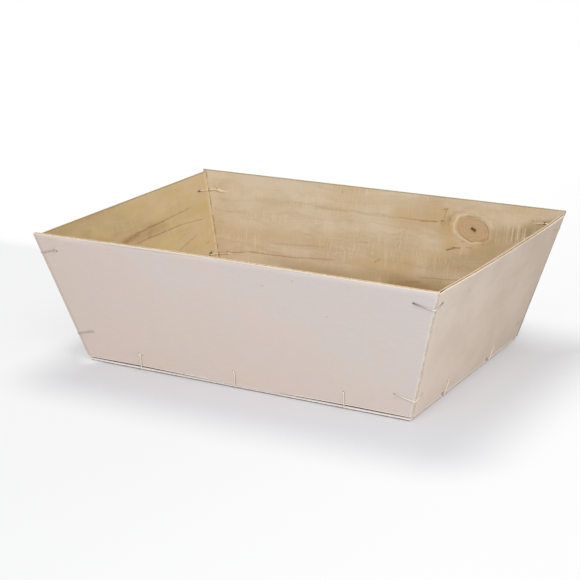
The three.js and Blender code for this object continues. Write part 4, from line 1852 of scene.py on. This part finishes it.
class BASKET_OT_base_board(bpy.types.Operator):
    """Makes the base board."""

    bl_idname = "basket.base_board"
    bl_label = "Base board"

    def execute(self, context):
        scene = context.scene
        settings, wires, colours = scene.basket_boards, scene.basket_staples, scene.basket_colours
        place = PLACES["base"]
        core_span = CORE_SPANS["base"]
        marks = wire_marks("base", foot_staples(wires), wires, settings)
        mesh = board_mesh("base_board", place, place.outline, core_span, marks, settings, BASE_SEED)
        plies = (colours.base_edge_low, colours.base_edge_dark, colours.base_edge)
        ends = ("base", colours.end_grain, colours.end_grain)
        edge = ply_edge_material("base_edge", plies, core_span, place.thickness, ends)
        materials = (plain_inside_material("base_below", BASE_BELOW_SEED), edge, base_above_material())
        place_piece(new_object("base_board", mesh, materials), "base_panel")
        return {"FINISHED"}


class BASKET_OT_staples(bpy.types.Operator):
    """Makes the wire staples of the corners and of the base."""

    bl_idname = "basket.staples"
    bl_label = "Wire staples"

    def execute(self, context):
        scene = context.scene
        settings = scene.basket_staples
        tree = sweep_tree()
        material = wire_material(scene.basket_colours)
        for staple in corner_staples(settings) + foot_staples(settings):
            place_piece(wire_object(staple, tree, settings, material), staple.name)
        return {"FINISHED"}


# Slivers that are longer, wider or higher than the usual ones, in shares of them
SLIVER_SHARES = {"back_left_upper_staple": (2.4, 2.3, 2.2), "back_right_upper_staple": (2.2, 0.8, 1.0)}

# A sliver's shape: its steps, how far it wavers, how its width swells and varies, how its lift falls off,
# how deep it sits in the wood, its ridge and its two edges
SLIVER_STEPS = 8
SLIVER_WAVER = 0.15
SLIVER_SWELL = (0.35, 0.65, 0.3)
SLIVER_WIDTHS = (0.8, 1.1)
SLIVER_FALL = 1.6
SLIVER_SINK = 0.03 * MM
SLIVER_RIDGE = 0.32 * MM
SLIVER_RIDGE_FALL = 0.7
SLIVER_EDGES = (0.1 * MM, 0.05 * MM)
SLIVER_SLANTS = (-0.15, -0.1)
SLIVER_SEED = 8


def sliver(place, root, direction, length, width, lift, rng):
    """A torn sliver on a board's inner face: lifted at its root, fading into the wood at its tip."""
    across = np.array((-direction[1], direction[0]))
    least, swell, ahead = SLIVER_SWELL
    left_rise, right_rise = SLIVER_EDGES
    rings = []
    for step in range(SLIVER_STEPS + 1):
        share = step / SLIVER_STEPS
        middle = root + direction * length * share + across * width * SLIVER_WAVER * rng.uniform(-1, 1)
        half = width / 2 * (least + swell * math.sin(math.pi * min(1.0, share + ahead)))
        half *= rng.uniform(*SLIVER_WIDTHS)
        base = place.thickness + lift * (1 - share) ** SLIVER_FALL - SLIVER_SINK
        ridge = base + SLIVER_RIDGE * (1 - SLIVER_RIDGE_FALL * share)
        left, right = middle + across * half, middle - across * half
        left, right = (*left, base + left_rise), (*right, base + right_rise)
        rings.append([left, (*middle, ridge), right, (*middle, base)])
    points = [place.point(*corner)[:] for corners in rings for corner in corners]
    faces = [(0, 1, 2, 3), tuple(4 * SLIVER_STEPS + i for i in (3, 2, 1, 0))]
    for step in range(SLIVER_STEPS):
        for i in range(4):
            j = (i + 1) % 4
            faces.append((4 * step + i, 4 * step + 4 + i, 4 * step + 4 + j, 4 * step + j))
    return points, faces


class BASKET_OT_splinters(bpy.types.Operator):
    """Makes the slivers of wood that the corner staples tear up inside."""

    bl_idname = "basket.splinters"
    bl_label = "Splinters"

    def execute(self, context):
        scene = context.scene
        settings = scene.basket_boards
        rng = np.random.default_rng(SLIVER_SEED)
        material, _, shader = begin_material("splinter", roughness=0.7)
        shader.inputs["Base Color"].default_value = colour(scene.basket_colours.splinter)
        sizes = (settings.splinter_length, settings.splinter_width, settings.splinter_lift)
        shape = bmesh.new()
        for staple in corner_staples(scene.basket_staples):
            arm = staple.arms[0]
            hole = np.array(staple.on_board(arm)[-1][:])
            direction = np.array((-math.copysign(1.0, hole[0]), rng.uniform(*SLIVER_SLANTS)))
            own_sizes = (size * k for size, k in zip(sizes, SLIVER_SHARES.get(staple.name, (1, 1, 1))))
            root = hole + direction * settings.hole_radius
            points, faces = sliver(PLACES[arm.board], root, direction, *own_sizes, rng)
            made = [shape.verts.new(point) for point in points]
            for face in faces:
                shape.faces.new([made[i] for i in face])
        bmesh.ops.recalc_face_normals(shape, faces=shape.faces)
        mesh = bpy.data.meshes.new("splinters")
        shape.to_mesh(mesh)
        shape.free()
        made = new_object("splinters", mesh, (material,))
        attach(made, BODY)
        return {"FINISHED"}


class BASKET_OT_stage(bpy.types.Operator):
    """Sets the floor, the light and the camera."""

    bl_idname = "basket.stage"
    bl_label = "Stage"

    def execute(self, context):
        scene = context.scene
        settings = scene.basket_stage
        add_floor(settings)
        add_light(scene, settings)
        add_camera(scene, settings)
        scene.view_settings.view_transform = "Standard"
        return {"FINISHED"}


def seen_rays(make):
    """The rays that show a thing itself: from the camera, off a gloss and through clear things."""
    path = make.add("ShaderNodeLightPath").outputs
    seen = make.larger(path["Is Camera Ray"], path["Is Glossy Ray"])
    return make.larger(seen, path["Is Transmission Ray"])


def mixed_shader(make, share, first, second):
    node = make.add("ShaderNodeMixShader")
    for socket, value in zip(node.inputs, (share, first, second)):
        make.feed(socket, value)
    return node.outputs[0]


def add_floor(settings):
    """A pale floor that keeps the shadow near the basket and fades to white away from it, with painted light
    on the left that lightens the basket's shadow there.
    """
    half, level = settings.floor_half, -settings.floor_gap
    corners = [(-half, -half, level), (half, -half, level), (half, half, level), (-half, half, level)]
    mesh = bpy.data.meshes.new("floor")
    mesh.from_pydata(corners, [], [(0, 1, 2, 3)])
    material, make, shader = begin_material("floor", roughness=0.9)
    shader.inputs["Base Color"].default_value = colour(settings.floor_colour)
    place = make.result("ShaderNodeTexCoord", output="Object")
    off_middle = make.vector("ABSOLUTE", make.vector("SUBTRACT", place, (*settings.shadow_middle[:], 0.0)))
    beyond = make.vector("SUBTRACT", off_middle, (*settings.shadow_half[:], 0.0))
    distance = make.vector("LENGTH", make.stretched(make.vector("MAXIMUM", beyond, (0.0, 0.0, 0.0))))
    parts = make.split(place)
    open_floor = make.span(parts["X"], *settings.open_span[:], *settings.open_paleness[:])
    paleness = make.times(make.span(distance, 0.0, settings.shadow_fade), open_floor)
    paleness = make.larger(paleness, make.span(distance, *settings.white_span[:]))
    behind = make.span(parts["X"], *settings.open_span[:], *settings.behind_paleness[:])
    behind = make.times(make.span(parts["Y"], *settings.behind_span[:]), behind)
    paleness = make.larger(paleness, behind)
    # Painted light: a pale patch over the basket's shadow on the left
    ends = {"start": (*settings.left_start[:], 0.0), "end": (*settings.left_end[:], 0.0)}
    patch = make.group(
        effect("streak"), place=place, half_width=settings.left_reach, swing=0.0, broken=1.0, **ends
    )
    paleness = make.larger(paleness, make.times(patch["Mask"], settings.left_paleness))
    white = make.result("ShaderNodeEmission", {"Color": (1.0, 1.0, 1.0, 1.0)})
    shown = mixed_shader(make, make.times(seen_rays(make), paleness), shader.outputs[0], white)
    output = next(node for node in material.node_tree.nodes if node.type == "OUTPUT_MATERIAL")
    make.feed(output.inputs["Surface"], shown)
    new_object("floor", mesh, (material,))


def add_light(scene, settings):
    """Even light from all round, and one large soft lamp."""
    world = bpy.data.worlds.new("studio")
    world.use_nodes = True
    world.node_tree.nodes.clear()
    make = NodeMaker(world.node_tree)
    white = {"Color": (1.0, 1.0, 1.0, 1.0)}
    lit = make.result("ShaderNodeBackground", {**white, "Strength": settings.world_strength})
    shown = make.result("ShaderNodeBackground", {**white, "Strength": 1.0})
    surface = mixed_shader(make, seen_rays(make), lit, shown)
    make.add("ShaderNodeOutputWorld", {"Surface": surface})
    scene.world = world
    lamp = bpy.data.lights.new("key", "AREA")
    lamp.size = settings.key_width
    lamp.energy = settings.key_power
    holder = bpy.data.objects.new("key", lamp)
    holder.location = settings.key_place
    holder.rotation_euler = (-Vector(settings.key_place)).to_track_quat("-Z", "Y").to_euler()
    scene.collection.objects.link(holder)


def add_camera(scene, settings):
    lens = bpy.data.cameras.new("camera")
    lens.lens = settings.camera_lens
    lens.clip_start = 0.01
    holder = bpy.data.objects.new("camera", lens)
    heading = Matrix.Rotation(settings.camera_heading, 4, "Z")
    tilt = Matrix.Rotation(math.pi / 2 - settings.camera_tilt, 4, "X")
    roll = Matrix.Rotation(settings.camera_roll, 4, "Z")
    holder.matrix_world = Matrix.Translation(settings.camera_place) @ heading @ tilt @ roll
    scene.collection.objects.link(holder)
    scene.camera = holder


class BASKET_PT_build(bpy.types.Panel):
    """The basket's steps and settings in the sidebar."""

    bl_label = "Plywood gift basket"
    bl_idname = "BASKET_PT_build"
    bl_space_type = "VIEW_3D"
    bl_region_type = "UI"
    bl_category = "Basket"

    def draw(self, context):
        for operator in OPERATORS:
            self.layout.operator(operator.bl_idname)
        for pointer in SETTINGS:
            group = getattr(context.scene, pointer)
            box = self.layout.box()
            box.label(text=group.bl_rna.description)
            for name in group.__annotations__:
                box.prop(group, name)


OPERATORS = (
    BASKET_OT_wall_boards,
    BASKET_OT_base_board,
    BASKET_OT_staples,
    BASKET_OT_splinters,
    BASKET_OT_stage,
)
SETTINGS = {
    "basket_boards": BasketBoardSettings,
    "basket_staples": BasketStapleSettings,
    "basket_colours": BasketColours,
    "basket_stage": BasketStageSettings,
}


def register():
    for group in (*SETTINGS.values(), *OPERATORS, BASKET_PT_build):
        bpy.utils.register_class(group)
    for pointer, group in SETTINGS.items():
        setattr(bpy.types.Scene, pointer, PointerProperty(type=group))


def unregister():
    for pointer in SETTINGS:
        delattr(bpy.types.Scene, pointer)
    for group in reversed((*SETTINGS.values(), *OPERATORS, BASKET_PT_build)):
        bpy.utils.unregister_class(group)


def main():
    register()
    bpy.ops.basket.wall_boards()
    bpy.ops.basket.base_board()
    bpy.ops.basket.staples()
    bpy.ops.basket.splinters()
    bpy.ops.basket.stage()


if __name__ == "__main__":
    main()
